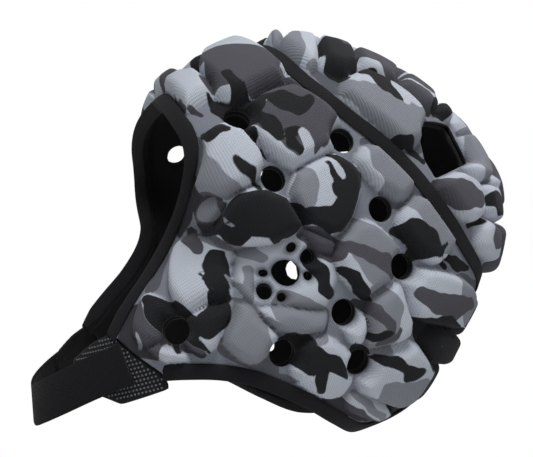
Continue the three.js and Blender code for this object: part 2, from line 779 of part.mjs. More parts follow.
const leftPanel = sidePanel();
const leftPatch = strapPatch();
const cap = new THREE.Group();
cap.name = "scrum_cap";
cap.add(
  piece("left_side_panel", vented(leftPanel, [same]), colours.camo),
  piece("right_side_panel", vented(mirroredWall(leftPanel), [mirroredWall]), colours.camo),
  piece("crown_panel", toSolid(crownPanel()), colours.camo),
  piece("lining", vented(liningShell(), [same, mirroredWall]), colours.lining),
  piece("crown_seam_tape", toSolid(seamTape()), colours.trim),
  piece("face_binding", toSolid(faceBinding()), colours.trim),
  piece("neck_binding", toSolid(neckBinding()), colours.trim),
  piece("left_strap_patch", toSolid(leftPatch), colours.patch),
  piece("right_strap_patch", toSolid(mirroredWall(leftPatch)), colours.patch),
  piece("chin_strap", toSolid(chinStrap()), colours.trim),
);

export default cap;
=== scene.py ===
"""Looks of the rugby scrum cap: padded camouflage panels, lining, bound edges, patches and strap."""

import math

import bpy
import numpy as np
from mathutils import Matrix, Vector


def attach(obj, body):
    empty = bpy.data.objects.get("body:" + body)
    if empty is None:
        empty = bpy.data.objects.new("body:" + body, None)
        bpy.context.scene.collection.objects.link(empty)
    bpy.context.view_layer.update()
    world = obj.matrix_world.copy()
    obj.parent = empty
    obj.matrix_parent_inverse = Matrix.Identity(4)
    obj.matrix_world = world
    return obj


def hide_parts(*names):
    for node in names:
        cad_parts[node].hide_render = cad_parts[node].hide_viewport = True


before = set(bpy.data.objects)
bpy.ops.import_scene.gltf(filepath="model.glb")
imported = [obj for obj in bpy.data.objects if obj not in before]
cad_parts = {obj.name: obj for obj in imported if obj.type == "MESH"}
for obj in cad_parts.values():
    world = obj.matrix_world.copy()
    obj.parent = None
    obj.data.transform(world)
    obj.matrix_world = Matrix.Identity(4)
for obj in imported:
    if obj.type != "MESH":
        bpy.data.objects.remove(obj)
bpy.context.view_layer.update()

# Driving sizes of the head form, in millimetres from the ear axis
CROWN_REACH = 141.0
HALF_WIDTH = 81.0
FULLNESS = 2.4
SEAT = np.array([0.0, 8.046, 138.88])  # the part's origin, measured from the ear axis
MM = 0.001
UNROLLED = CROWN_REACH * math.pi / 2  # a share of 1 of the side view, along the head form

# Cloth and foam
GAP = 0.3
LINING_BOTTOM = -2.3
LINING_THICK = 2.4
PANEL_BOTTOM = 1.3
SKIN_THICK = 2.0
SKIN_TOP = PANEL_BOTTOM + SKIN_THICK
PAD_RISE = 9.0
PAD_BEVEL = 6.5
PAD_POWER = 3.0  # 2 gives an ellipse, more a rounded box
BEVEL_POWER = 2.3
DOME_SLOPE = 0.05
DOME_RUN = 12.0
PAD_MARGIN = 0.5
VENT_MARGIN = 0.3
VALLEY_DEPTH = 4.0
BINDING_WIDTH = 7.6
BINDING_THICK = 1.2
LINING_CLEAR = 0.4
SKIN_CLEAR = 0.5
FOLD_OUT = 0.2
FOLD_SHARE = 0.22
FOLD_STEPS = 13
TAPE_WIDTH = 9.0
TAPE_THICK = 1.0
TAPE_LIFT = 0.35
TAPE_ROUND = 0.45
PATCH_THICK = 2.4
PATCH_BEVEL = 1.2
PATCH_DROP = 0.8
STRAP_WIDTH = 23.0
STRAP_THICK = 1.8
STRAP_LIFT = 0.6
STRAP_ROUND = 0.8

# Holes
VENT_RADIUS = 7.3
EAR_HOLE_RADIUS = 7.5
EAR_SIDE_RADIUS = 4.2
EAR_DOT_RADIUS = 2.5
VENT_DEPTH = 30.0

# Dots of the patches
DOT_PITCH = 2.35
DOT_SPREAD = (0.72, 0.62)  # shares of the pitch along and up
DOT_MIDDLE = (-0.38, -0.44)
DOT_REACH = (0.2, 0.15)
DOT_COUNT = 60
DOT_MARGIN = 1.6
DOT_RADIUS = 0.62
DOT_HEIGHT = 0.42
DOT_SIDES = 8
DOT_SLANT = (0.3, 0.9, 0.2)  # any direction off the patch's normal
DOT_RINGS = [(1.0, -0.2), (1.0, 0.12), (0.66, DOT_HEIGHT * 0.82)]  # share of radius, height

# Mesh fineness, in shares of the unrolled side view
PANEL_STEP = 0.0064
LINING_STEP = 0.016
PATCH_STEP = 0.008
RINGS = 260
LINE_STEPS = 90
FINE_STEPS = 4000
CHART_LOW = (-1.0, -0.7)
CHART_HIGH = (1.05, 1.08)
BEYOND = 1.6  # past every edge of the side view

# Cutting of the meshes along their borders
ON_MIDDLE = 1e-4
ON_BORDER = 1e-7
NUDGE = 1e-4
SNAP_ROUNDS = 4
SNAP_SHARE = 0.3
MIDDLE_SNAP = 0.1
HALVINGS = 24
FAR_AWAY = 1e3

# Bindings grow thin over their last rings, where they reach a patch
END_THIN = 0.5
END_RINGS = 14

# Head form by direction from the ear: toward, reach and squeeze as in the solids
HEAD_ROWS = np.array([
    (0, 0.79, 0.16),
    (22.5, 0.89, 0.26),
    (45, 1.01, 0.26),
    (67.5, 1.02, 0.16),
    (90, 1.0, 0.08),
    (112.5, 0.985, 0.05),
    (135, 0.91, 0.11),
    (157.5, 0.845, 0.27),
    (180, 0.605, -0.18),
    (202.5, 0.69, -0.39),
    (225, 1.08, -0.26),
    (247.5, 1.18, -0.15),
    (270, 0.99, -0.08),
    (292.5, 0.8, -0.05),
    (315, 0.74, -0.01),
    (337.5, 0.79, 0.08),
])
REACH, SQUEEZE = 1, 2  # columns of these rows

# Lines of the side view, as (along, up) shares
FACE_EDGE = [
    (-0.84, 0.555), (-0.745, 0.458), (-0.66, 0.375), (-0.583, 0.3), (-0.52, 0.243), (-0.465, 0.195),
    (-0.43, 0.15), (-0.408, 0.09), (-0.401, 0.02), (-0.398, -0.06), (-0.4, -0.15), (-0.412, -0.24),
    (-0.433, -0.352),
]
NECK_EDGE = [
    (-0.263, -0.38), (-0.207, -0.35), (-0.136, -0.322), (-0.052, -0.307), (0.082, -0.312), (0.2, -0.335),
    (0.335, -0.365), (0.44, -0.345), (0.52, -0.28), (0.6, -0.21), (0.7, -0.165), (0.86, -0.15),
]
CROWN_SEAM = [
    (-0.46, 1.06), (-0.43, 0.87), (-0.405, 0.75), (-0.365, 0.66), (-0.31, 0.58), (-0.229, 0.488),
    (-0.145, 0.439), (-0.062, 0.403), (0.027, 0.377), (0.145, 0.332), (0.249, 0.276), (0.365, 0.224),
    (0.46, 0.208), (0.6, 0.205), (0.76, 0.21), (0.96, 0.215),
]
PATCH_CORNERS = [
    (-0.268, -0.367), (-0.427, -0.343), (-0.475, -0.4), (-0.52, -0.475), (-0.5, -0.53), (-0.373, -0.497),
    (-0.335, -0.49), (-0.24, -0.395),
]
STRAP_LINE = [
    (-0.356, -0.385), (-0.436, -0.478), (-0.522, -0.587), (-0.615, -0.71), (-0.725, -0.86), (-0.85, -1.02),
]
REAR_OPENING = [
    (0.14, 0.455), (0.16, 0.53), (0.3, 0.635), (0.302, 0.56), (0.338, 0.485), (0.21, 0.352), (0.165, 0.39),
]
FOREHEAD_OPENING = [(-0.53, 0.465), (-0.575, 0.62), (-0.62, 0.78), (-0.72, 0.68), (-0.615, 0.545)]

# Round holes: along, up, radius
VENTS = [
    (-0.345, 0.28, VENT_RADIUS),
    (-0.207, 0.16, VENT_RADIUS),
    (-0.07, 0.33, VENT_RADIUS),
    (0.08, 0.205, VENT_RADIUS),
    (-0.276, -0.26, VENT_RADIUS),
    (-0.028, -0.215, VENT_RADIUS),
    (0.08, -0.068, VENT_RADIUS),
    (0.185, 0.095, VENT_RADIUS),
    (0.172, -0.163, VENT_RADIUS),
    (-0.09, -0.035, EAR_HOLE_RADIUS),
    (-0.058, 0.022, EAR_SIDE_RADIUS),
    (-0.123, -0.098, EAR_SIDE_RADIUS),
    (-0.105, 0.028, EAR_DOT_RADIUS),
    (-0.135, -0.058, EAR_DOT_RADIUS),
    (-0.04, -0.023, EAR_DOT_RADIUS),
    (-0.082, -0.095, EAR_DOT_RADIUS),
]

# Pads: along, up, half length, half width, turn in degrees, rise
SIDE_PADS = [
    (-0.415, 0.53, 0.22, 0.125, 118, 1.3),
    (-0.235, 0.455, 0.04, 0.025, -15, 0.7),
    (-0.21, 0.315, 0.13, 0.11, -15, 1),
    (-0.56, 0.39, 0.14, 0.09, 140, 1.1),
    (-0.66, 0.56, 0.1, 0.09, 140, 1.3),
    (-0.335, 0.165, 0.09, 0.08, -35, 1),
    (-0.31, 0.055, 0.034, 0.034, 0, 0.6),
    (-0.19, 0.055, 0.1, 0.072, 0, 1),
    (-0.075, 0.18, 0.105, 0.09, 90, 1),
    (-0.045, 0.058, 0.055, 0.03, -5, 0.8),
    (0.06, 0.295, 0.09, 0.05, -15, 1),
    (0.215, 0.205, 0.09, 0.068, -20, 1),
    (0.085, 0.075, 0.09, 0.085, -20, 1),
    (-0.262, -0.105, 0.112, 0.072, 100, 1),
    (-0.335, -0.265, 0.06, 0.038, 90, 0.8),
    (-0.21, -0.215, 0.075, 0.045, 75, 1),
    (-0.27, -0.325, 0.05, 0.025, 10, 0.8),
    (-0.085, -0.035, 0.12, 0.105, 0, 0.4),
    (-0.04, -0.125, 0.09, 0.042, 12, 0.9),
    (-0.125, -0.205, 0.07, 0.058, -20, 1),
    (0.085, -0.205, 0.09, 0.07, -10, 1),
    (0.2, -0.04, 0.095, 0.065, 110, 1),
    (0.34, 0.07, 0.145, 0.07, 10, 1),
    (0.3, -0.15, 0.125, 0.088, 0, 1),
    (0.45, -0.035, 0.13, 0.055, 5, 0.9),
    (0.3, -0.262, 0.11, 0.035, -3, 0.7),
    (0.125, -0.09, 0.042, 0.036, -30, 0.8),
    (0.5, -0.15, 0.08, 0.065, 20, 0.4),
    (0.62, 0.1, 0.14, 0.07, 5, 0.6),
    (0.68, -0.04, 0.12, 0.065, 5, 0.4),
]
CROWN_PADS = [
    (-0.25, 0.66, 0.17, 0.065, 97, 1.0),
    (-0.355, 0.8, 0.13, 0.05, 102, 1.1),
    (-0.235, 0.92, 0.11, 0.085, 100, 1.0),
    (-0.135, 0.7, 0.17, 0.068, 92, 1.0),
    (0.0, 0.72, 0.12, 0.088, 90, 1),
    (-0.03, 0.93, 0.12, 0.095, 0, 1),
    (0.02, 0.49, 0.135, 0.1, -15, 1),
    (0.155, 0.67, 0.105, 0.08, 60, 1),
    (0.2, 0.88, 0.12, 0.11, 70, 1),
    (0.27, 0.68, 0.07, 0.045, 45, 0.9),
    (0.375, 0.53, 0.115, 0.08, 50, 1),
    (0.42, 0.76, 0.14, 0.11, 55, 1),
    (0.3, 0.345, 0.09, 0.065, 10, 1),
    (0.45, 0.415, 0.085, 0.06, 25, 1),
    (0.47, 0.3, 0.1, 0.055, 15, 1),
    (0.56, 0.58, 0.13, 0.1, 40, 1.25),
    (0.66, 0.38, 0.13, 0.09, 25, 1.3),
    (0.8, 0.31, 0.075, 0.06, 110, 0.9),
    (0.745, 0.5, 0.1, 0.07, 124, 0.9),
    (0.655, 0.73, 0.11, 0.075, 138, 0.9),
    (0.45, 0.91, 0.1, 0.075, 155, 0.9),
    (0.28, 0.985, 0.08, 0.05, 165, 0.8),
]

# Camouflage: tone, then a stroke of (along, up, radius) in thousandths of a share;
# later strokes lie over earlier ones. A few strokes are print and painted shade at once,
# along the lower edges of pads and beside the face binding
LIGHT, MID, DARK, BLACK = range(4)
GROUNDS = [
    (MID, [(-660, 500, 30), (-600, 470, 20)]),
    # mid band along the lower edge of the pad below the front vent: print, and painted shade on the pad's
    # lower side
    (MID, [(-420, 170, 30), (-360, 120, 35), (-300, 100, 20)]),
    # dark beside the face binding, where the rim turns inward: print, and painted shade
    (DARK, [(-390, 100, 20), (-365, 20, 24), (-350, -30, 10)]),
    (MID, [(-370, -100, 12), (-360, -190, 16)]),
    (MID, [(-140, 200, 20), (-125, 140, 30)]),
    # mid along the lower edge of the pad in front of the ear: print, and painted shade on the pad's lower
    # side
    (MID, [(-280, 0, 20), (-200, -15, 22), (-150, -20, 14)]),
    (MID, [(-160, -170, 40), (-120, -220, 60), (-50, -260, 30)]),
    (MID, [(-70, -110, 40), (20, -120, 40)]),
    (MID, [(30, 110, 50), (120, 80, 60)]),
    (MID, [(150, -10, 45), (200, -100, 40)]),
    (MID, [(400, 120, 50), (460, 110, 70)]),
    (MID, [(280, -190, 35), (370, -170, 45)]),
    (DARK, [(360, -300, 30), (460, -260, 70), (570, -120, 90)]),
    (DARK, [(220, -300, 30), (140, -270, 20)]),
    (MID, [(-270, 560, 40), (-300, 750, 50)]),
    (MID, [(-30, 470, 50), (100, 430, 50), (130, 520, 50)]),
    (MID, [(400, 500, 60), (370, 600, 60)]),
    (DARK, [(550, 360, 50), (600, 290, 60)]),
    (MID, [(500, 750, 90), (560, 660, 50)]),
    (DARK, [(20, 800, 70), (100, 860, 70)]),
]
STROKES = GROUNDS + [
    # front pads
    (DARK, [(-475, 500, 50), (-400, 475, 60), (-330, 465, 50)]),
    (DARK, [(-450, 430, 40), (-420, 400, 35), (-310, 420, 30)]),
    (DARK, [(-260, 400, 55), (-170, 380, 65), (-180, 290, 60), (-270, 290, 45)]),
    (DARK, [(-150, 420, 40), (-125, 300, 20)]),
    (DARK, [(-440, 375, 30), (-370, 380, 30), (-300, 390, 30)]),
    (BLACK, [(-388, 385, 13), (-363, 350, 24), (-350, 310, 45)]),
    (BLACK, [(-345, 365, 10), (-335, 340, 18)]),
    (BLACK, [(-415, 315, 12), (-400, 300, 26), (-370, 285, 35)]),
    (BLACK, [(-302, 352, 13), (-313, 325, 24), (-318, 285, 30)]),
    (BLACK, [(-445, 337, 6), (-410, 310, 20)]),
    (BLACK, [(-275, 352, 18), (-245, 352, 30), (-210, 347, 24), (-180, 370, 16)]),
    (BLACK, [(-295, 285, 16), (-255, 272, 26), (-238, 250, 18)]),
    (BLACK, [(-315, 250, 12), (-280, 222, 12), (-235, 199, 8)]),
    (BLACK, [(-192, 293, 10), (-208, 273, 12), (-198, 250, 13), (-175, 243, 10)]),
    (LIGHT, [(-260, 232, 14), (-230, 217, 17), (-205, 203, 10)]),
    (LIGHT, [(-178, 292, 12), (-162, 270, 16), (-150, 245, 17), (-170, 213, 10)]),
    (DARK, [(-550, 345, 7), (-525, 315, 11), (-503, 283, 9)]),
    (DARK, [(-478, 280, 13), (-452, 268, 9)]),
    (BLACK, [(-400, 203, 16), (-375, 200, 20), (-345, 213, 7)]),
    (BLACK, [(-325, 165, 5), (-280, 142, 11), (-235, 122, 9)]),
    # mid band along the lower edge of the pad below the front vent: print, and painted shade on the pad's
    # lower side
    (MID, [(-350, 120, 6), (-310, 100, 12), (-275, 100, 10)]),
    # dark round the small pad by the face edge, where the rim turns inward, with mid on its top: print,
    # and painted shade
    (DARK, [(-335, 75, 22), (-310, 50, 40), (-290, 20, 26)]),
    (MID, [(-310, 55, 24)]),
    # pads above the ear
    (BLACK, [(-250, 75, 30), (-200, 80, 40), (-145, 78, 40), (-110, 88, 25)]),
    (BLACK, [(-230, 45, 28), (-222, 12, 14)]),
    (BLACK, [(-262, 45, 15), (-268, 18, 12)]),
    (BLACK, [(-155, 40, 14), (-150, 28, 8)]),
    (MID, [(-262, 57, 4), (-235, 53, 3)]),
    (DARK, [(-90, 62, 22), (-50, 60, 34), (-10, 55, 30)]),
    (BLACK, [(-88, 272, 13), (-50, 266, 22), (-20, 240, 24), (-28, 205, 28),
             (-20, 165, 34), (-35, 122, 34), (-105, 105, 18)]),
    (BLACK, [(-100, 243, 6), (-75, 224, 8), (-50, 205, 14), (-60, 190, 16)]),
    (LIGHT, [(-100, 258, 4), (-60, 236, 8)]),
    (BLACK, [(-45, 12, 18), (-18, -5, 18), (0, -35, 14), (28, -45, 15)]),
    (MID, [(0, 345, 20), (50, 310, 45), (110, 270, 50)]),
    (MID, [(130, 290, 20), (200, 240, 40), (260, 200, 40), (190, 170, 30)]),
    (BLACK, [(125, 165, 8), (165, 178, 28), (200, 170, 30), (240, 160, 18)]),
    (BLACK, [(268, 180, 8), (255, 160, 14), (200, 140, 20)]),
    (BLACK, [(280, 152, 8), (305, 142, 8)]),
    (MID, [(20, 105, 16), (70, 125, 28), (120, 120, 20)]),
    (DARK, [(20, 72, 16), (70, 80, 18), (120, 85, 22), (155, 72, 20)]),
    (BLACK, [(30, 22, 10), (60, 13, 17), (90, -4, 16), (122, -25, 10)]),
    # pads before and below the ear
    (DARK, [(-318, -10, 14), (-295, -35, 24), (-272, -62, 16)]),
    (BLACK, [(-236, -50, 15), (-225, -82, 26), (-205, -115, 22), (-197, -145, 12)]),
    (BLACK, [(-242, -125, 4), (-218, -148, 6)]),
    (BLACK, [(-208, -168, 18), (-200, -195, 22), (-215, -228, 24)]),
    (BLACK, [(-340, -235, 16), (-300, -250, 45), (-260, -265, 45)]),
    (BLACK, [(-215, -268, 12), (-185, -277, 6)]),
    (DARK, [(-375, -270, 25), (-355, -320, 40), (-300, -315, 30)]),
    (DARK, [(-245, -287, 14), (-200, -290, 12)]),
    (LIGHT, [(-285, -312, 10), (-265, -328, 22), (-240, -325, 10)]),
    (LIGHT, [(-347, -322, 8), (-335, -335, 6)]),
    (MID, [(-160, -60, 12), (-150, -120, 10), (-190, -100, 4)]),
    (MID, [(-110, -200, 30), (-90, -232, 30)]),
    (MID, [(-100, -158, 8), (-50, -165, 10), (20, -140, 10), (45, -110, 8)]),
    (BLACK, [(-55, -185, 4), (-20, -172, 16), (10, -160, 14)]),
    (BLACK, [(-10, -200, 32), (30, -195, 36), (80, -186, 22), (135, -200, 13)]),
    (BLACK, [(60, -215, 16), (85, -250, 12)]),
    (MID, [(30, -262, 8), (0, -270, 12), (-60, -270, 12)]),
    (DARK, [(100, -42, 10), (145, -40, 15), (185, -50, 14), (207, -78, 8)]),
    (DARK, [(190, -100, 10), (220, -75, 10), (222, -48, 7)]),
    (BLACK, [(165, -95, 9), (182, -80, 11), (196, -66, 7)]),
    (BLACK, [(135, -120, 8), (162, -150, 26), (186, -178, 14)]),
    (BLACK, [(200, -140, 9), (250, -124, 14), (300, -130, 16), (355, -113, 10)]),
    (DARK, [(235, 55, 15), (290, 48, 24), (360, 62, 30), (420, 100, 16)]),
    (MID, [(420, 140, 30), (520, 130, 50)]),
    (BLACK, [(305, 170, 12), (345, 172, 22), (400, 190, 10)]),
    (BLACK, [(280, -12, 20), (360, 0, 42), (460, 0, 45), (560, 20, 50)]),
    (BLACK, [(420, -70, 40), (480, -120, 70), (470, -200, 75), (580, -100, 60)]),
    (BLACK, [(340, -222, 9), (380, -235, 16), (430, -250, 20)]),
    (BLACK, [(400, -65, 35), (460, -40, 50), (540, -10, 60), (620, 20, 60)]),
    (BLACK, [(430, -100, 30), (460, -180, 50), (440, -250, 40)]),
    (BLACK, [(310, -35, 16), (345, -60, 24), (385, -90, 22)]),
    (DARK, [(530, 90, 30), (620, 120, 60), (700, 140, 60)]),
    (MID, [(200, -235, 9), (270, -245, 14), (340, -262, 14)]),
    (DARK, [(160, -280, 12), (240, -285, 22), (330, -300, 20)]),
    # crown
    (DARK, [(-120, 800, 60), (-100, 700, 40)]),
    (BLACK, [(-165, 700, 35), (-155, 620, 45), (-140, 570, 40), (-105, 525, 22)]),
    (BLACK, [(-100, 670, 30), (-100, 600, 35)]),
    (DARK, [(-30, 700, 50), (50, 720, 50), (120, 700, 40), (170, 680, 40)]),
    (DARK, [(-60, 780, 50), (0, 700, 45), (40, 650, 40), (80, 610, 30),
            (130, 600, 30), (170, 580, 25)]),
    (BLACK, [(-55, 560, 16), (-25, 578, 28), (0, 545, 30), (30, 512, 12),
             (55, 503, 5)]),
    (BLACK, [(20, 592, 14), (70, 585, 10), (105, 560, 6)]),
    (LIGHT, [(35, 556, 16), (70, 547, 24), (105, 530, 20)]),
    (MID, [(-200, 530, 20), (-130, 490, 25), (-30, 460, 30), (60, 440, 40)]),
    (BLACK, [(190, 600, 20), (240, 640, 28), (290, 680, 16)]),
    (DARK, [(220, 330, 22), (280, 335, 38), (335, 350, 22)]),
    (BLACK, [(400, 385, 24), (440, 400, 38), (490, 430, 30)]),
    (BLACK, [(395, 325, 16), (350, 285, 10)]),
    (BLACK, [(75, 385, 18), (100, 402, 12), (160, 388, 10)]),
    (DARK, [(450, 300, 30), (500, 330, 30)]),
    # crown behind and across the middle
    (DARK, [(500, 600, 60), (560, 500, 60)]),
    (BLACK, [(380, 700, 40), (440, 820, 50)]),
    (BLACK, [(620, 380, 50), (700, 420, 40)]),
    (DARK, [(160, 900, 60), (200, 980, 50)]),
    (BLACK, [(-200, 900, 40), (-240, 950, 50)]),
    (DARK, [(620, 120, 60), (720, 80, 50)]),
    (BLACK, [(600, -100, 50), (680, -80, 30)]),
    (BLACK, [(-620, 620, 30), (-660, 520, 20)]),
]

# The right side: these strokes turned half round one place, then its own front, the grounds and its
# own forehead
FAR_TURN = (0.02, 0.16)
FAR_FRONT = [
    (BLACK, [(-330, 860, 50), (-470, 780, 60), (-550, 680, 60)]),
    (MID, [(-440, 820, 12), (-410, 760, 14)]),
    (DARK, [(-660, 680, 50), (-740, 580, 50)]),
]
FAR_FOREHEAD = [
    (BLACK, [(-420, 620, 70), (-400, 500, 70)]),
    (MID, [(-440, 660, 10), (-410, 600, 15)]),
    (DARK, [(-550, 450, 50), (-620, 550, 60)]),
]
FAR_STROKES = FAR_FRONT + GROUNDS + FAR_FOREHEAD
FAR_OUTSIDE = -1000.0
SHALLOW = -20.0
STROKE_UNIT = 1000
STROKE_BLEND = 2.0
WAVE_SEED = 7
WAVES_A_LENGTH = 3
WAVES = [(34.0, 1.0), (15.0, 0.7), (7.0, 0.35)]  # length, amount in millimetres

# Screen colours from 0 to 255
CAMO_PLAIN = (190, 194, 203)
CAMO_LIGHT = (193, 199, 210)
CAMO_TONES = {"mid": (136, 139, 148), "dark": (80, 79, 87), "black": (20, 21, 25)}
FOAM_SIDE = (18, 18, 20)
DOT_COLOUR = (104, 106, 112)

# Surfaces
CAMO_ROUGHNESS = 0.8
CAMO_SHEEN = 0.06
CAMO_BUMP = 0.45
TONE_EDGE = 0.35
UNDER_EDGE = (0.1, 0.4)
# painted shade: the cloth in the valleys between pads is multiplied towards this colour
GROOVE_SHADE = (0.4, 0.4, 0.42, 1)
KNIT_PITCH = 1.1
KNIT_TURN = 38
THREAD_SHARE = 0.15
CLOTH_TURN = 20
CLOTH_SHEEN = 0.05
SHEEN_ROUGHNESS = 0.5
SPECULAR = 0.3
DOT_ROUGHNESS = 0.45
BUMP_DEPTH = 0.0003  # in metres
WAVE_SCALE = math.pi / 10  # one band to a unit of the coordinates

# Black cloths: colour, roughness, thread pitch, bump strength
LINING_KNIT = ((24, 24, 27), 0.9, 1.6, 0.3)
TRIM_WEAVE = ((18, 18, 22), 0.85, 1.2, 0.4)
PATCH_BASE = ((18, 18, 21), 0.8, 0.9, 0.3)
STRAP_FLEECE = ((15, 15, 19), 0.95, 1.5, 0.4)

# The photograph's camera, in metres
EYE = (0.54757, -0.19151, -0.21713)
BACKWARD = (0.9403, -0.2902, -0.1777)
RIGHTWARD = (0.3362, 0.8731, 0.353)
LENS = 62.76
SENSOR = 36.0
CLIP_START = 0.01

# Studio, with lights as name, place, size, power
LIGHTS = [
    ("key", (0.6, -0.55, 0.85), 0.5, 9.6),
    ("fill", (1.1, 0.5, 0.1), 1.2, 1.9),
    ("top", (0.0, 0.35, 1.1), 0.8, 4),
]
LIGHT_AIM = (0.0, 0.0, -0.12)
SKY_COLOUR = (0.97, 0.98, 1.0, 1)
SKY_STRENGTH = 0.16
FLOOR_SIDE = 30.0
FLOOR_DEPTH = -0.32
FLOOR_COLOUR = (0.8, 0.8, 0.8, 1)
FLOOR_ROUGHNESS = 0.9


# The head form and places on it
def around(column, angle):
    """One column of the head rows at an angle, with smooth passage between rows."""
    count = len(HEAD_ROWS)
    place = np.mod(np.degrees(angle), 360.0) / (360.0 / count)
    row = np.floor(place).astype(int)
    t = place - row
    a, b, c, d = (HEAD_ROWS[(row + s) % count, column] for s in (-1, 0, 1, 2))
    cubic = -a + 3 * b - 3 * c + d
    square = 2 * a - 5 * b + 4 * c - d
    return 0.5 * (2 * b + (c - a) * t + square * t**2 + cubic * t**3)


def reach_at(u, v):
    return around(REACH, np.arctan2(v, u))


def head_point(u, v):
    """A place of the side view on the head form, in millimetres."""
    angle = np.arctan2(v, u)
    swing = np.hypot(u, v) / around(REACH, angle) * math.pi / 2
    side, out = np.cos(swing), np.sin(swing)
    spread = (np.abs(side) ** FULLNESS + np.abs(out) ** FULLNESS) ** (-1 / FULLNESS)
    outward = out * spread
    width = 1 + around(SQUEEZE, angle) * outward**2
    far = CROWN_REACH * around(REACH, angle) * outward
    return np.stack([HALF_WIDTH * width * side * spread, far * np.cos(angle), far * np.sin(angle)], -1)


def head_slopes(u, v):
    step = 1e-3
    back = head_point(u + step, v) - head_point(u - step, v)
    above = head_point(u, v + step) - head_point(u, v - step)
    return np.cross(back, above) / (2 * step) ** 2


def head_normal(u, v):
    n = head_slopes(u, v)
    return n / np.linalg.norm(n, axis=-1, keepdims=True)


def scale_at(u, v):
    """Millimetres on the head form to a share of the side view."""
    return np.sqrt(np.linalg.norm(head_slopes(u, v), axis=-1))


def half_rule(u, v):
    """Distance to the middle plane in millimetres, positive on the kept half."""
    return (reach_at(u, v) - np.hypot(u, v)) * UNROLLED


def lifted(u, v, height):
    """Places at a height over the head form, exact on the middle plane."""
    point = head_point(u, v) + head_normal(u, v) * np.asarray(height)[..., None]
    point[..., 0] = np.where(np.abs(half_rule(u, v)) < ON_MIDDLE, 0.0, point[..., 0])
    return point


# Smooth lines and distances
def smooth_line(places, steps):
    """An even run along a smooth curve through the places."""
    p = np.array(places, float)
    p = np.vstack([p[0], p, p[-1]])
    spans = len(places) - 1
    t = np.linspace(0, spans, steps + 1)
    row = np.minimum(t.astype(int), spans - 1)
    t = (t - row)[:, None]
    a, b, c, d = (p[row + s] for s in range(4))
    return 0.5 * (
        2 * b + (c - a) * t + (2 * a - 5 * b + 4 * c - d) * t**2 + (-a + 3 * b - 3 * c + d) * t**3
    )


def inside_by(outline, u, v):
    """Distance to an outline in millimetres, positive inside."""
    outline = np.asarray(outline)
    nearest = np.full(u.shape, np.inf)
    inside = np.zeros(u.shape, bool)
    for a, b in zip(np.roll(outline, 1, 0), outline):
        run = b - a
        length = run @ run
        if length == 0:
            continue
        t = np.clip(((u - a[0]) * run[0] + (v - a[1]) * run[1]) / length, 0, 1)
        nearest = np.minimum(nearest, np.hypot(u - a[0] - t * run[0], v - a[1] - t * run[1]))
        if run[1] != 0:
            crosses = ((a[1] > v) != (b[1] > v)) & (u < a[0] + (v - a[1]) / run[1] * run[0])
            inside ^= crosses
    return np.where(inside, nearest, -nearest) * scale_at(u, v)


FACE_LINE = smooth_line(FACE_EDGE, LINE_STEPS)
NECK_LINE = smooth_line(NECK_EDGE, LINE_STEPS)
SEAM_LINE = smooth_line(CROWN_SEAM, LINE_STEPS)
CAP_OUTLINE = np.vstack([
    FACE_LINE, NECK_LINE, [(BEYOND, NECK_LINE[-1, 1]), (BEYOND, BEYOND), (-BEYOND, BEYOND)],
])
CROWN_OUTLINE = np.vstack([
    SEAM_LINE, [(BEYOND, SEAM_LINE[-1, 1]), (BEYOND, BEYOND), (SEAM_LINE[0, 0], BEYOND)],
])


def rounded(corners, steps=6, share=0.25):
    """An outline with each corner cut by a short curve."""
    out = []
    p = np.array(corners, float)
    for before, here, after in zip(np.roll(p, 1, 0), p, np.roll(p, -1, 0)):
        a, b = here + (before - here) * share, here + (after - here) * share
        for t in np.linspace(0, 1, steps):
            out.append(a * (1 - t) ** 2 + 2 * here * t * (1 - t) + b * t**2)
    return np.array(out)


PATCH_OUTLINE = rounded(PATCH_CORNERS, share=0.12)
REAR_OUTLINE = rounded(REAR_OPENING, share=0.1)
FOREHEAD_OUTLINE = rounded(FOREHEAD_OPENING)


def vent_rule(u, v):
    """Distance to the nearest vent in millimetres, positive outside."""
    point = head_point(u, v)
    nearest = np.full(u.shape, FAR_AWAY)
    for along, up, radius in VENTS:
        a, b = np.array([along]), np.array([up])
        centre, normal = head_point(a, b)[0], head_normal(a, b)[0]
        offset = point - centre
        depth = offset @ normal
        away = np.linalg.norm(offset - depth[..., None] * normal, axis=-1)
        nearest = np.minimum(nearest, np.where(np.abs(depth) < VENT_DEPTH, away - radius, FAR_AWAY))
    return nearest


def rim_rule(u, v):
    return inside_by(CAP_OUTLINE, u, v)


def seam_rule(u, v):
    return inside_by(CROWN_OUTLINE, u, v)


def off_patch(u, v):
    return -inside_by(PATCH_OUTLINE, u, v) - GAP


def rear_rule(u, v):
    return -inside_by(REAR_OUTLINE, u, v)


def forehead_rule(u, v):
    return -inside_by(FOREHEAD_OUTLINE, u, v)


# Pads
def pad_depths(pads, u, v):
    """The largest and second largest depth inside a pad, and the rise of the deepest."""
    best = np.full(u.shape, -np.inf)
    following = np.full(u.shape, -np.inf)
    rise = np.zeros(u.shape)
    for along, up, long, wide, turn, height in pads:
        c, s = math.cos(math.radians(turn)), math.sin(math.radians(turn))
        x, y = u - along, v - up
        reach = (
            np.abs((x * c + y * s) / long) ** PAD_POWER + np.abs((y * c - x * s) / wide) ** PAD_POWER
        ) ** (1 / PAD_POWER)
        size = math.sqrt(long * wide) * scale_at(np.array([along]), np.array([up]))[0]
        depth = (1 - reach) * size
        deeper = depth > best
        following = np.where(deeper, best, np.maximum(following, depth))
        rise = np.where(deeper, height, rise)
        best = np.where(deeper, depth, best)
    return best, following, rise


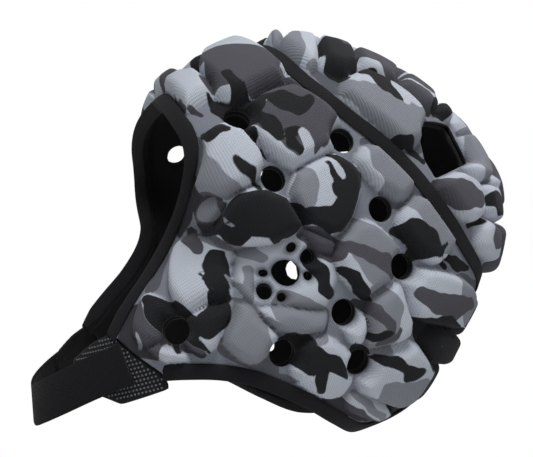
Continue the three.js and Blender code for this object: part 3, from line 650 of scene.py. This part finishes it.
def pad_height(pads, u, v):
    """Rise of the foam over the skin, zero along every border and between pads."""
    best, following, rise = pad_depths(pads, u, v)
    border = np.minimum.reduce([
        rim_rule(u, v) - BINDING_WIDTH - PAD_MARGIN,
        np.abs(seam_rule(u, v)) - TAPE_WIDTH / 2 - PAD_MARGIN,
        off_patch(u, v) - PAD_MARGIN,
        rear_rule(u, v) - PAD_MARGIN,
        forehead_rule(u, v) - PAD_MARGIN,
        vent_rule(u, v) - VENT_MARGIN,
    ])
    depth = np.minimum(np.minimum(best, (best - following) / 2), border)
    t = np.clip(depth / PAD_BEVEL, 0, 1)
    dome = np.clip(depth - PAD_BEVEL, 0, DOME_RUN) * DOME_SLOPE
    return rise * (PAD_RISE * (1 - (1 - t) ** BEVEL_POWER) + dome)


# Triangles over the side view
def grid(step):
    """Places in rows and columns, with triangles that turn in every other square."""
    low, high = CHART_LOW, CHART_HIGH
    columns = int(math.ceil((high[0] - low[0]) / step))
    rows = int(math.ceil((high[1] - low[1]) / step))
    x, y = np.meshgrid(low[0] + step * np.arange(columns + 1), low[1] + step * np.arange(rows + 1))
    index = np.arange((columns + 1) * (rows + 1)).reshape(rows + 1, columns + 1)
    a, b = index[:-1, :-1].ravel(), index[:-1, 1:].ravel()
    c, d = index[1:, :-1].ravel(), index[1:, 1:].ravel()
    odd = (np.add.outer(np.arange(rows), np.arange(columns)) % 2).astype(bool).ravel()
    first = np.where(odd[:, None], np.stack([a, b, d], 1), np.stack([a, b, c], 1))
    second = np.where(odd[:, None], np.stack([a, d, c], 1), np.stack([b, d, c], 1))
    return np.stack([x.ravel(), y.ravel()], 1), np.vstack([first, second])


def compact(places, triangles, *more):
    """The same triangles without the places that none uses."""
    used, inverse = np.unique(triangles, return_inverse=True)
    return (places[used], inverse.reshape(triangles.shape), *(m[used] for m in more))


def snap(places, fixed, keep, near):
    """Moves free places close to the rule's border onto it."""
    values = keep(places[:, 0], places[:, 1])
    close = np.flatnonzero((np.abs(values) < near) & ~fixed)
    for _ in range(SNAP_ROUNDS):
        u, v = places[close].T
        value = keep(u, v)
        slope = np.stack([
            (keep(u + NUDGE, v) - keep(u - NUDGE, v)) / (2 * NUDGE),
            (keep(u, v + NUDGE) - keep(u, v - NUDGE)) / (2 * NUDGE),
        ], 1)
        steep = np.maximum((slope**2).sum(1), 1)
        places[close] -= slope * (value / steep)[:, None]
    values[close] = 0
    fixed[close] = True
    return values


def cut_along(places, triangles, fixed, keep, near):
    """Keeps what lies inside the rule, with new places along its border."""
    values = snap(places, fixed, keep, near)
    values[np.abs(values) < ON_BORDER] = 0
    held = values[triangles]
    whole = triangles[(held.min(1) >= 0) & (held.max(1) > 0)]
    mixed = triangles[(held.min(1) < 0) & (held.max(1) > 0)]
    edges = np.vstack([mixed[:, [0, 1]], mixed[:, [1, 2]], mixed[:, [2, 0]]])
    edges = np.sort(edges, axis=1)
    edges = np.unique(edges[values[edges[:, 0]] * values[edges[:, 1]] < 0], axis=0)
    inside = np.where(values[edges[:, 0]] > 0, edges[:, 0], edges[:, 1])
    outside = np.where(values[edges[:, 0]] > 0, edges[:, 1], edges[:, 0])
    low, high = places[outside].copy(), places[inside].copy()
    for _ in range(HALVINGS):
        middle = (low + high) / 2
        kept = keep(middle[:, 0], middle[:, 1]) > 0
        high[kept] = middle[kept]
        low[~kept] = middle[~kept]
    first = len(places)
    number = {tuple(e): first + i for i, e in enumerate(edges)}
    places = np.vstack([places, high])
    fixed = np.concatenate([fixed, np.ones(len(high), bool)])
    pieces = []
    for triangle in mixed:
        corners = []
        for i in range(3):
            a, b = triangle[i], triangle[(i + 1) % 3]
            if values[a] >= 0:
                corners.append(a)
            if values[a] * values[b] < 0:
                corners.append(number[(min(a, b), max(a, b))])
        pieces += [(corners[0], corners[k], corners[k + 1]) for k in range(1, len(corners) - 1)]
    if pieces:
        whole = np.vstack([whole, np.array(pieces)])
    return compact(places, whole, fixed)


def region(step, rules):
    """Triangles over the part of the side view that every rule keeps."""
    places, triangles = grid(step)
    fixed = np.zeros(len(places), bool)
    near = SNAP_SHARE * step * UNROLLED
    for keep in rules:
        places, triangles, fixed = cut_along(places, triangles, fixed, keep, near)
    u, v = places.T
    close = np.abs(half_rule(u, v)) < MIDDLE_SNAP
    places[close] *= (reach_at(u, v) / np.hypot(u, v))[close, None]
    return places, triangles


# Walls and tubes
def borders(triangles):
    """Edges that only one triangle has."""
    edges = np.vstack([triangles[:, [0, 1]], triangles[:, [1, 2]], triangles[:, [2, 0]]])
    top = edges.max() + 1
    code = edges[:, 0].astype(np.int64) * top + edges[:, 1]
    back = edges[:, 1].astype(np.int64) * top + edges[:, 0]
    return edges[~np.isin(code, back)]


def wall(places, triangles, bottom, heights):
    """A closed wall; edges on the middle plane stay open for the other half."""
    u, v = places.T
    count = len(places)
    lower = lifted(u, v, np.full(count, bottom))
    upper = lifted(u, v, heights)
    rim = borders(triangles)
    on_middle = np.abs(half_rule(u, v)) < ON_MIDDLE
    rim = rim[~(on_middle[rim[:, 0]] & on_middle[rim[:, 1]])]
    a, b = rim.T
    sides = np.vstack([np.stack([a, b, b + count], 1), np.stack([a, b + count, a + count], 1)])
    faces = np.vstack([triangles[:, ::-1], triangles + count, sides])
    return np.vstack([lower, upper]), faces, np.concatenate([on_middle, on_middle])


def with_mirror(points, faces, on_middle):
    """Both halves as one body, welded on the middle plane."""
    other = points * (-1, 1, 1)
    index = np.arange(len(points)) + len(points)
    index[on_middle] = np.flatnonzero(on_middle)
    all_points = np.vstack([points, other])
    all_faces = np.vstack([faces, index[faces[:, ::-1]]])
    used, inverse = np.unique(all_faces, return_inverse=True)
    return all_points[used], inverse.reshape(all_faces.shape), used % len(points)


def half_line(places, steps):
    """The stretch of a line on the kept half, ending exactly on the middle plane."""
    fine = smooth_line(places, FINE_STEPS)
    left = reach_at(*fine.T) - np.hypot(*fine.T)
    kept = fine[left > 0]
    if left[0] <= 0:
        first = kept[0] * reach_at(*kept[:1].T) / np.hypot(*kept[0])
        kept = np.vstack([first, kept])
    if left[-1] <= 0:
        last = kept[-1] * reach_at(*kept[-1:].T) / np.hypot(*kept[-1])
        kept = np.vstack([kept, last])
    points = head_point(*kept.T)
    run = np.concatenate([[0], np.cumsum(np.linalg.norm(np.diff(points, axis=0), axis=1))])
    even = np.linspace(0, run[-1], steps + 1)
    return np.stack([np.interp(even, run, kept[:, 0]), np.interp(even, run, kept[:, 1])], 1)


def swept(line, section, thinned):
    """Rings across a line: the section's points are (inward, height) pairs in millimetres."""
    run = np.gradient(line, axis=0)
    run /= np.linalg.norm(run, axis=1, keepdims=True)
    inward = np.stack([-run[:, 1], run[:, 0]], 1)
    step = 0.02
    here = head_point(*line.T)
    there = head_point(*(line + inward * step).T)
    scale = step / np.linalg.norm(there - here, axis=1)
    rings = []
    for across, height in section:
        place = line + inward * (across * scale)[:, None]
        rings.append(lifted(*place.T, PATCH_THICK / 2 + (height - PATCH_THICK / 2) * thinned))
    return np.stack(rings, 1)


def straight_rings(line, section, lift):
    """Rings of a band that stays straight across its width."""
    middles = lifted(*line.T, np.full(len(line), lift))
    run = np.gradient(middles, axis=0)
    normal = head_normal(*line.T)
    across = np.cross(normal, run)
    across /= np.linalg.norm(across, axis=1, keepdims=True)
    return np.stack([middles + across * w + normal * h for w, h in section], 1)


def tube(rings, closed_start, closed_end):
    """Faces over rings, with flat fans on the closed ends."""
    count, around_count = rings.shape[:2]
    j = np.arange(around_count)
    k = (j + 1) % around_count
    faces = []
    for i in range(count - 1):
        a, b = i * around_count, (i + 1) * around_count
        faces.append(np.stack([a + j, a + k, b + k], 1))
        faces.append(np.stack([a + j, b + k, b + j], 1))
    points = rings.reshape(-1, 3)
    for closed, ring, flip in ((closed_start, 0, True), (closed_end, count - 1, False)):
        if not closed:
            continue
        points = np.vstack([points, rings[ring].mean(0)])
        hub = np.full(around_count, len(points) - 1)
        start = ring * around_count
        fan = np.stack([hub, start + j, start + k], 1)
        faces.append(fan[:, ::-1] if flip else fan)
    return points, np.vstack(faces)


def mirrored_tube(rings, open_start, open_end):
    """A tube and its mirror image, welded where they meet on the middle plane."""
    if open_start:
        rings[0, :, 0] = 0
    if open_end:
        rings[-1, :, 0] = 0
    points, faces = tube(rings, not open_start, not open_end)
    return with_mirror(points, faces, points[:, 0] == 0)[:2]


def rounded_box_section(left, right, low, high, radius, steps=4):
    """A closed section with rounded corners, counter-clockwise."""
    radius = min(radius, (right - left) / 2, (high - low) / 2)
    corners = [
        (right - radius, high - radius, 0),
        (left + radius, high - radius, 90),
        (left + radius, low + radius, 180),
        (right - radius, low + radius, 270),
    ]
    out = []
    for x, y, start in corners:
        for t in np.linspace(0, 90, steps):
            angle = math.radians(start + t)
            out.append((x + radius * math.cos(angle), y + radius * math.sin(angle)))
    return out


def channel_section():
    """A folded edge tape round panel and lining, rounded at its fold."""
    width = BINDING_WIDTH
    inner, outer = LINING_BOTTOM - LINING_CLEAR, SKIN_TOP + SKIN_CLEAR
    low, high = inner - BINDING_THICK, outer + BINDING_THICK
    half, middle = (high - low) / 2, (high + low) / 2
    upper = [
        (width - 0.2, outer + 0.1),
        (width, outer + 0.5),
        (width - 0.5, high - 0.15),
        (width * 0.6, high + 0.25),
        (width * 0.25, high + 0.2),
    ]
    fold = [
        (-FOLD_OUT - half * FOLD_SHARE * math.cos(a), middle + half * math.sin(a))
        for a in np.linspace(math.pi / 2, -math.pi / 2, FOLD_STEPS)
    ]
    lower = [(width * 0.5, low), (width, low + 0.2), (width, inner)]
    inside = [(0.6, inner), (0.0, middle), (0.6, outer)]
    return upper + fold + lower + inside


# Camouflage
def stroke_sets():
    """Strokes for both sides as (tone, points in millimetres, radii in millimetres)."""
    near = [(tone, np.array(stroke) / STROKE_UNIT) for tone, stroke in STROKES]
    far = [(tone, np.array(stroke) / STROKE_UNIT) for tone, stroke in FAR_STROKES]
    made = [(tone, 1, stroke) for tone, stroke in near]
    for tone, stroke in near:
        turned = stroke.copy()
        turned[:, :2] = FAR_TURN - stroke[:, :2]
        u, v = turned[:, :2].T
        if (np.hypot(u, v) < reach_at(u, v)).all():
            made.append((tone, -1, turned))
    made += [(tone, -1, stroke) for tone, stroke in far]
    sets = []
    for tone, side, stroke in made:
        u, v, radius = stroke.T
        points = head_point(u, v) * (side, 1, 1)
        sets.append((tone, points, radius * scale_at(u, v)))
    return sets


def waver(points):
    """A smooth seeded displacement, so that no border is a perfect curve."""
    rng = np.random.default_rng(WAVE_SEED)
    out = np.zeros_like(points)
    for length, amount in WAVES:
        for _ in range(WAVES_A_LENGTH):
            direction = rng.normal(size=3)
            direction *= 2 * math.pi / length / np.linalg.norm(direction)
            phase = rng.uniform(0, 2 * math.pi)
            push = rng.normal(size=3)
            push *= amount / np.linalg.norm(push)
            out += np.sin(points @ direction + phase)[:, None] * push
    return points + out


def stroke_depth(points, path, radii):
    """How far inside a stroke of round cones the points lie."""
    if len(path) == 1:
        return radii[0] - np.linalg.norm(points - path[0], axis=1)
    best = np.full(len(points), FAR_OUTSIDE)
    for a, b, ra, rb in zip(path[:-1], path[1:], radii[:-1], radii[1:]):
        run = b - a
        t = np.clip((points - a) @ run / (run @ run), 0, 1)
        away = np.linalg.norm(points - a - t[:, None] * run, axis=1)
        depth = ra + (rb - ra) * t - away
        h = np.clip(0.5 + 0.5 * (depth - best) / STROKE_BLEND, 0, 1)
        best = best * (1 - h) + depth * h + STROKE_BLEND * h * (1 - h)
    return best


def tone_fields(points):
    """Signed depths of the three darker tones at points on the head form.

    A stroke deepens its own tone and pushes back every darker one that it covers.
    """
    points = waver(points)
    fields = [np.full(len(points), SHALLOW) for _ in range(BLACK + 1)]
    for tone, path, radii in stroke_sets():
        depth = stroke_depth(points, path, radii)
        fields[tone] = np.maximum(fields[tone], depth)
        for darker in range(tone + 1, BLACK + 1):
            fields[darker] = np.minimum(fields[darker], -depth)
    return {"mid": fields[MID], "dark": fields[DARK], "black": fields[BLACK]}


# Meshes and materials
def make_piece(name, points, faces, material, attributes=None, cloth_uv=None):
    mesh = bpy.data.meshes.new(name)
    mesh.from_pydata(((points - SEAT) * MM).tolist(), [], faces.tolist())
    mesh.validate()
    for key, values in (attributes or {}).items():
        mesh.attributes.new(key, "FLOAT", "POINT").data.foreach_set("value", values.astype(np.float32))
    if cloth_uv is not None:
        layer = mesh.uv_layers.new(name="cloth")
        loops = np.zeros(len(mesh.loops), np.int32)
        mesh.loops.foreach_get("vertex_index", loops)
        layer.data.foreach_set("uv", cloth_uv[loops].astype(np.float32).ravel())
    mesh.polygons.foreach_set("use_smooth", np.ones(len(mesh.polygons), bool))
    mesh.materials.append(material)
    piece = bpy.data.objects.new(name, mesh)
    bpy.context.scene.collection.objects.link(piece)
    return piece


def node(tree, kind, **settings):
    made = tree.nodes.new(kind)
    for key, value in settings.items():
        setattr(made, key, value)
    return made


def plug(tree, value, socket):
    """Feeds a socket from another one, or sets its plain value."""
    if isinstance(value, bpy.types.NodeSocket):
        tree.links.new(value, socket)
    else:
        socket.default_value = value


def blended(tree, factor, first, second, blend="MIX"):
    """Two colours blended by a factor, each a socket or a plain value."""
    mix = node(tree, "ShaderNodeMix", data_type="RGBA", blend_type=blend)
    for value, place in ((factor, 0), (first, 6), (second, 7)):
        plug(tree, value, mix.inputs[place])
    return mix.outputs[2]


def stepped(tree, name, low, high):
    """A mesh attribute as a smooth step from 0 to 1."""
    attribute = node(tree, "ShaderNodeAttribute", attribute_name=name)
    step = node(tree, "ShaderNodeMapRange", interpolation_type="SMOOTHSTEP")
    step.inputs["From Min"].default_value = low
    step.inputs["From Max"].default_value = high
    tree.links.new(attribute.outputs["Fac"], step.inputs["Value"])
    return step.outputs["Result"]


def linear(colour):
    """A screen colour from 0 to 255 as linear light."""
    shares = [c / 255 for c in colour]
    return (*(c / 12.92 if c <= 0.04045 else ((c + 0.055) / 1.055) ** 2.4 for c in shares), 1.0)


def new_material(name, colour, roughness, sheen=0.0):
    """A plain cloth or plastic from a screen colour."""
    material = bpy.data.materials.new(name)
    material.use_nodes = True
    shader = material.node_tree.nodes["Principled BSDF"]
    shader.inputs["Base Color"].default_value = linear(colour)
    shader.inputs["Roughness"].default_value = roughness
    shader.inputs["Specular IOR Level"].default_value = SPECULAR
    shader.inputs["Sheen Weight"].default_value = sheen
    shader.inputs["Sheen Roughness"].default_value = SHEEN_ROUGHNESS
    return material, material.node_tree, shader


def weave(tree, pitch, angle):
    """Two crossed bands of thread over the cloth's own coordinates."""
    uv = node(tree, "ShaderNodeUVMap", uv_map="cloth")
    heights = []
    for turn in (angle, angle + 90):
        mapping = node(tree, "ShaderNodeMapping")
        mapping.inputs["Rotation"].default_value = (0, 0, math.radians(turn))
        mapping.inputs["Scale"].default_value = (1 / pitch, 1 / pitch, 1 / pitch)
        wave = node(tree, "ShaderNodeTexWave", wave_type="BANDS", bands_direction="X")
        wave.inputs["Scale"].default_value = WAVE_SCALE
        tree.links.new(uv.outputs["UV"], mapping.inputs["Vector"])
        tree.links.new(mapping.outputs["Vector"], wave.inputs["Vector"])
        heights.append(wave.outputs["Fac"])
    both = node(tree, "ShaderNodeMath", operation="ADD")
    tree.links.new(heights[0], both.inputs[0])
    tree.links.new(heights[1], both.inputs[1])
    return both.outputs[0]


def add_bump(tree, shader, height, strength):
    bump = node(tree, "ShaderNodeBump")
    bump.inputs["Strength"].default_value = strength
    bump.inputs["Distance"].default_value = BUMP_DEPTH
    tree.links.new(height, bump.inputs["Height"])
    tree.links.new(bump.outputs["Normal"], shader.inputs["Normal"])


def camo_material():
    """Four tones by the mesh's own attributes, with painted shade in the valleys between pads, and darker
    on the foam's underside.
    """
    material, tree, shader = new_material("camo_cloth", CAMO_PLAIN, CAMO_ROUGHNESS, CAMO_SHEEN)
    colour = linear(CAMO_LIGHT)
    for name, tone in CAMO_TONES.items():
        colour = blended(tree, stepped(tree, name, -TONE_EDGE, TONE_EDGE), colour, linear(tone))
    threads = weave(tree, KNIT_PITCH, KNIT_TURN)
    colour = blended(tree, THREAD_SHARE, colour, threads, "MULTIPLY")
    # painted shade, darkening the cloth in the valleys between pads
    valley_shade = node(tree, "ShaderNodeAttribute", attribute_name="valley_shade")
    colour = blended(tree, valley_shade.outputs["Fac"], colour, GROOVE_SHADE, "MULTIPLY")
    colour = blended(tree, stepped(tree, "under", *UNDER_EDGE), colour, linear(FOAM_SIDE))
    tree.links.new(colour, shader.inputs["Base Color"])
    add_bump(tree, shader, threads, CAMO_BUMP)
    return material


def black_cloth(name, tone, roughness, pitch, strength):
    material, tree, shader = new_material(name, tone, roughness, CLOTH_SHEEN)
    add_bump(tree, shader, weave(tree, pitch, CLOTH_TURN), strength)
    return material


def valley_shade_share(heights):
    """Share of painted shade: 1 in the valleys between pads and 0 on their tops."""
    return np.clip(1 - heights / VALLEY_DEPTH, 0, 1) ** 2


def chart_uv(places):
    """Cloth coordinates in millimetres for the lower and the upper skin."""
    return np.vstack([places * UNROLLED] * 2)


# Pieces
def side_panels(camo):
    def apart(u, v):
        return half_rule(u, v) - GAP

    def below_crown(u, v):
        return -seam_rule(u, v) - GAP

    places, triangles = region(
        PANEL_STEP, [apart, rim_rule, below_crown, off_patch, forehead_rule, vent_rule]
    )
    u, v = places.T
    heights = pad_height(SIDE_PADS, u, v)
    points, faces, _ = wall(places, triangles, PANEL_BOTTOM, SKIN_TOP + heights)
    base = np.vstack([head_point(u, v)] * 2)
    pieces = []
    for name, side in (("left_side_panel", 1), ("right_side_panel", -1)):
        fields = tone_fields(base * (side, 1, 1))
        # painted shade in the valleys between pads
        fields["valley_shade"] = np.tile(valley_shade_share(heights), 2)
        fields["under"] = np.repeat((1.0, 0.0), len(places))
        turned = faces if side == 1 else faces[:, ::-1]
        piece = make_piece(name + "_cloth", points * (side, 1, 1), turned, camo, fields, chart_uv(places))
        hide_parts(name)
        pieces.append(piece)
    return pieces


def crown_panel(camo):
    places, triangles = region(PANEL_STEP, [half_rule, seam_rule, rear_rule])
    u, v = places.T
    heights = pad_height(CROWN_PADS, u, v)
    points, faces, on_middle = wall(places, triangles, PANEL_BOTTOM, SKIN_TOP + heights)
    points, faces, source = with_mirror(points, faces, on_middle)
    base = np.vstack([head_point(u, v)] * 2)[source]
    base[:, 0] *= np.where(points[:, 0] < 0, -1, 1)
    fields = tone_fields(base)
    # painted shade in the valleys between pads
    fields["valley_shade"] = np.tile(valley_shade_share(heights), 2)[source]
    fields["under"] = np.repeat((1.0, 0.0), len(places))[source]
    piece = make_piece("crown_panel_cloth", points, faces, camo, fields, chart_uv(places)[source])
    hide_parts("crown_panel")
    return piece


def lining(cloth):
    places, triangles = region(
        LINING_STEP, [half_rule, rim_rule, off_patch, rear_rule, forehead_rule, vent_rule]
    )
    heights = np.full(len(places), LINING_BOTTOM + LINING_THICK)
    points, faces, source = with_mirror(*wall(places, triangles, LINING_BOTTOM, heights))
    piece = make_piece("lining_cloth", points, faces, cloth, None, chart_uv(places)[source])
    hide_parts("lining")
    return piece


def tape_uv(points):
    """Cloth coordinates in millimetres for tapes and strap."""
    x, y, z = points.T
    return np.stack([y + z, x - z], 1)


def edge_piece(name, line, section, open_start, open_end, cloth):
    """A tape along a line and its mirror image, thinner at the ends that a patch covers."""
    ramp = np.arange(RINGS + 1)
    start = 1.0 if open_start else np.clip(END_THIN + (1 - END_THIN) * ramp / END_RINGS, 0, 1)
    end = 1.0 if open_end else np.clip(END_THIN + (1 - END_THIN) * ramp[::-1] / END_RINGS, 0, 1)
    rings = swept(half_line(line, RINGS), section, start * end * np.ones(RINGS + 1))
    points, faces = mirrored_tube(rings, open_start, open_end)
    piece = make_piece(name + "_cloth", points, faces, cloth, None, tape_uv(points))
    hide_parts(name)
    return piece


def seam_tape(cloth):
    low = SKIN_TOP + TAPE_LIFT
    section = rounded_box_section(-TAPE_WIDTH / 2, TAPE_WIDTH / 2, low, low + TAPE_THICK, TAPE_ROUND)
    return edge_piece("crown_seam_tape", CROWN_SEAM, section, True, True, cloth)


def chin_strap(cloth):
    section = rounded_box_section(-STRAP_WIDTH / 2, STRAP_WIDTH / 2, 0, STRAP_THICK, STRAP_ROUND)
    rings = straight_rings(half_line(STRAP_LINE, RINGS), section, PATCH_THICK + STRAP_LIFT)
    points, faces = mirrored_tube(rings, False, True)
    piece = make_piece("chin_strap_cloth", points, faces, cloth, None, tape_uv(points))
    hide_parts("chin_strap")
    return piece


def dot_places():
    """Diagonal rows of dots inside the patch."""
    pitch = DOT_PITCH / UNROLLED
    row = np.arange(-DOT_COUNT, DOT_COUNT)
    i, j = np.meshgrid(row, row)
    u = DOT_MIDDLE[0] + (i + j).ravel() * pitch * DOT_SPREAD[0]
    v = DOT_MIDDLE[1] + (i - j).ravel() * pitch * DOT_SPREAD[1]
    near = (np.abs(u - DOT_MIDDLE[0]) < DOT_REACH[0]) & (np.abs(v - DOT_MIDDLE[1]) < DOT_REACH[1])
    u, v = u[near], v[near]
    kept = inside_by(PATCH_OUTLINE, u, v) > DOT_MARGIN
    return u[kept], v[kept]


def dot_form():
    """One dome: rings of points with a point on top, and its faces."""
    angles = np.arange(DOT_SIDES) * 2 * math.pi / DOT_SIDES
    rings = [
        (share * DOT_RADIUS * math.cos(a), share * DOT_RADIUS * math.sin(a), height)
        for share, height in DOT_RINGS
        for a in angles
    ]
    here = np.arange(DOT_SIDES)
    following = (here + 1) % DOT_SIDES
    faces = []
    for low in np.arange(len(DOT_RINGS) - 1) * DOT_SIDES:
        high = low + DOT_SIDES
        faces.append(np.stack([low + here, low + following, high + following], 1))
        faces.append(np.stack([low + here, high + following, high + here], 1))
    last = len(rings) - DOT_SIDES
    faces.append(np.stack([last + here, last + following, np.full(DOT_SIDES, len(rings))], 1))
    faces.append(np.stack([following[1:-1], here[1:-1], np.zeros(DOT_SIDES - 2, int)], 1))
    return np.array([*rings, (0, 0, DOT_HEIGHT)]), np.vstack(faces)


def patch_dots(side, name, dot_cloth):
    """Small domes standing on the patch."""
    u, v = dot_places()
    centre, normal = lifted(u, v, np.full(len(u), PATCH_THICK)), head_normal(u, v)
    first = np.cross(normal, DOT_SLANT)
    first /= np.linalg.norm(first, axis=1, keepdims=True)
    second = np.cross(normal, first)
    form, faces = dot_form()
    x, y, z = form.T[:, :, None]
    points = centre[:, None] + first[:, None] * x + second[:, None] * y + normal[:, None] * z
    every = (faces[None] + np.arange(len(u))[:, None, None] * len(form)).reshape(-1, 3)
    points = points.reshape(-1, 3) * (side, 1, 1)
    return make_piece(name, points, every if side == 1 else every[:, ::-1], dot_cloth)


def strap_patches(cloth, dot_cloth):
    def in_patch(u, v):
        return inside_by(PATCH_OUTLINE, u, v)

    places, triangles = region(PATCH_STEP, [in_patch])
    edge = np.clip(in_patch(*places.T) / PATCH_BEVEL, 0, 1)
    heights = PATCH_THICK - PATCH_DROP * (1 - edge) ** 2
    points, faces, _ = wall(places, triangles, 0.0, heights)
    pieces = []
    for name, side in (("left_strap_patch", 1), ("right_strap_patch", -1)):
        turned = faces if side == 1 else faces[:, ::-1]
        piece = make_piece(name + "_cloth", points * (side, 1, 1), turned, cloth, None, chart_uv(places))
        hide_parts(name)
        dots = patch_dots(side, name + "_dots", dot_cloth)
        pieces += [piece, dots]
    return pieces


# Stage
def photo_camera():
    back = Vector(BACKWARD).normalized()
    right = Vector(RIGHTWARD)
    right = (right - back * right.dot(back)).normalized()
    turn = Matrix((right, back.cross(right), back)).transposed()
    data = bpy.data.cameras.new("camera")
    data.sensor_width = SENSOR
    data.sensor_fit = "HORIZONTAL"
    data.lens = LENS
    data.clip_start = CLIP_START
    camera = bpy.data.objects.new("camera", data)
    camera.matrix_world = Matrix.Translation(EYE) @ turn.to_4x4()
    bpy.context.scene.collection.objects.link(camera)
    bpy.context.scene.camera = camera


def area_light(name, place, size, power):
    data = bpy.data.lights.new(name, "AREA")
    data.shape = "DISK"
    data.size = size
    data.energy = power
    light = bpy.data.objects.new(name, data)
    light.location = place
    light.rotation_euler = (Vector(LIGHT_AIM) - Vector(place)).to_track_quat("-Z", "Y").to_euler()
    bpy.context.scene.collection.objects.link(light)


def white_to_camera(tree, lit, output):
    """The camera sees plain white, and other rays see the given light."""
    path = node(tree, "ShaderNodeLightPath")
    white = node(tree, "ShaderNodeBackground" if output.type == "OUTPUT_WORLD" else "ShaderNodeEmission")
    white.inputs["Color"].default_value = (1, 1, 1, 1)
    white.inputs["Strength"].default_value = 1.0
    mix = node(tree, "ShaderNodeMixShader")
    tree.links.new(path.outputs["Is Camera Ray"], mix.inputs[0])
    tree.links.new(lit.outputs[0], mix.inputs[1])
    tree.links.new(white.outputs[0], mix.inputs[2])
    tree.links.new(mix.outputs[0], output.inputs["Surface"])


def sky():
    world = bpy.data.worlds.new("studio")
    bpy.context.scene.world = world
    world.use_nodes = True
    tree = world.node_tree
    lit = tree.nodes["Background"]
    lit.inputs["Color"].default_value = SKY_COLOUR
    lit.inputs["Strength"].default_value = SKY_STRENGTH
    white_to_camera(tree, lit, tree.nodes["World Output"])


def floor():
    side, depth = FLOOR_SIDE, FLOOR_DEPTH
    corners = [(-side, -side, depth), (side, -side, depth), (side, side, depth), (-side, side, depth)]
    mesh = bpy.data.meshes.new("floor")
    mesh.from_pydata(corners, [], [(0, 1, 2, 3)])
    material = bpy.data.materials.new("floor")
    material.use_nodes = True
    tree = material.node_tree
    shader = tree.nodes["Principled BSDF"]
    shader.inputs["Base Color"].default_value = FLOOR_COLOUR
    shader.inputs["Roughness"].default_value = FLOOR_ROUGHNESS
    white_to_camera(tree, shader, tree.nodes["Material Output"])
    mesh.materials.append(material)
    ground = bpy.data.objects.new("floor", mesh)
    bpy.context.scene.collection.objects.link(ground)


def studio():
    sky()
    floor()
    for light in LIGHTS:
        area_light(*light)
    bpy.context.scene.view_settings.view_transform = "Standard"


camo = camo_material()
black_lining = black_cloth("lining_knit", *LINING_KNIT)
trim = black_cloth("trim_weave", *TRIM_WEAVE)
patch_base = black_cloth("patch_base", *PATCH_BASE)
dot_plastic = new_material("patch_dot", DOT_COLOUR, DOT_ROUGHNESS)[0]
webbing = black_cloth("strap_fleece", *STRAP_FLEECE)

panels = [*side_panels(camo), crown_panel(camo)]
inner = lining(black_lining)
edges = [
    edge_piece("face_binding", FACE_EDGE, channel_section(), True, False, trim),
    edge_piece("neck_binding", NECK_EDGE, channel_section(), False, True, trim),
    seam_tape(trim),
]
patches = strap_patches(patch_base, dot_plastic)
strap = chin_strap(webbing)

for piece in [*panels, inner, *edges, *patches, strap]:
    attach(piece, "root")

photo_camera()
studio()
bpy.context.view_layer.update()
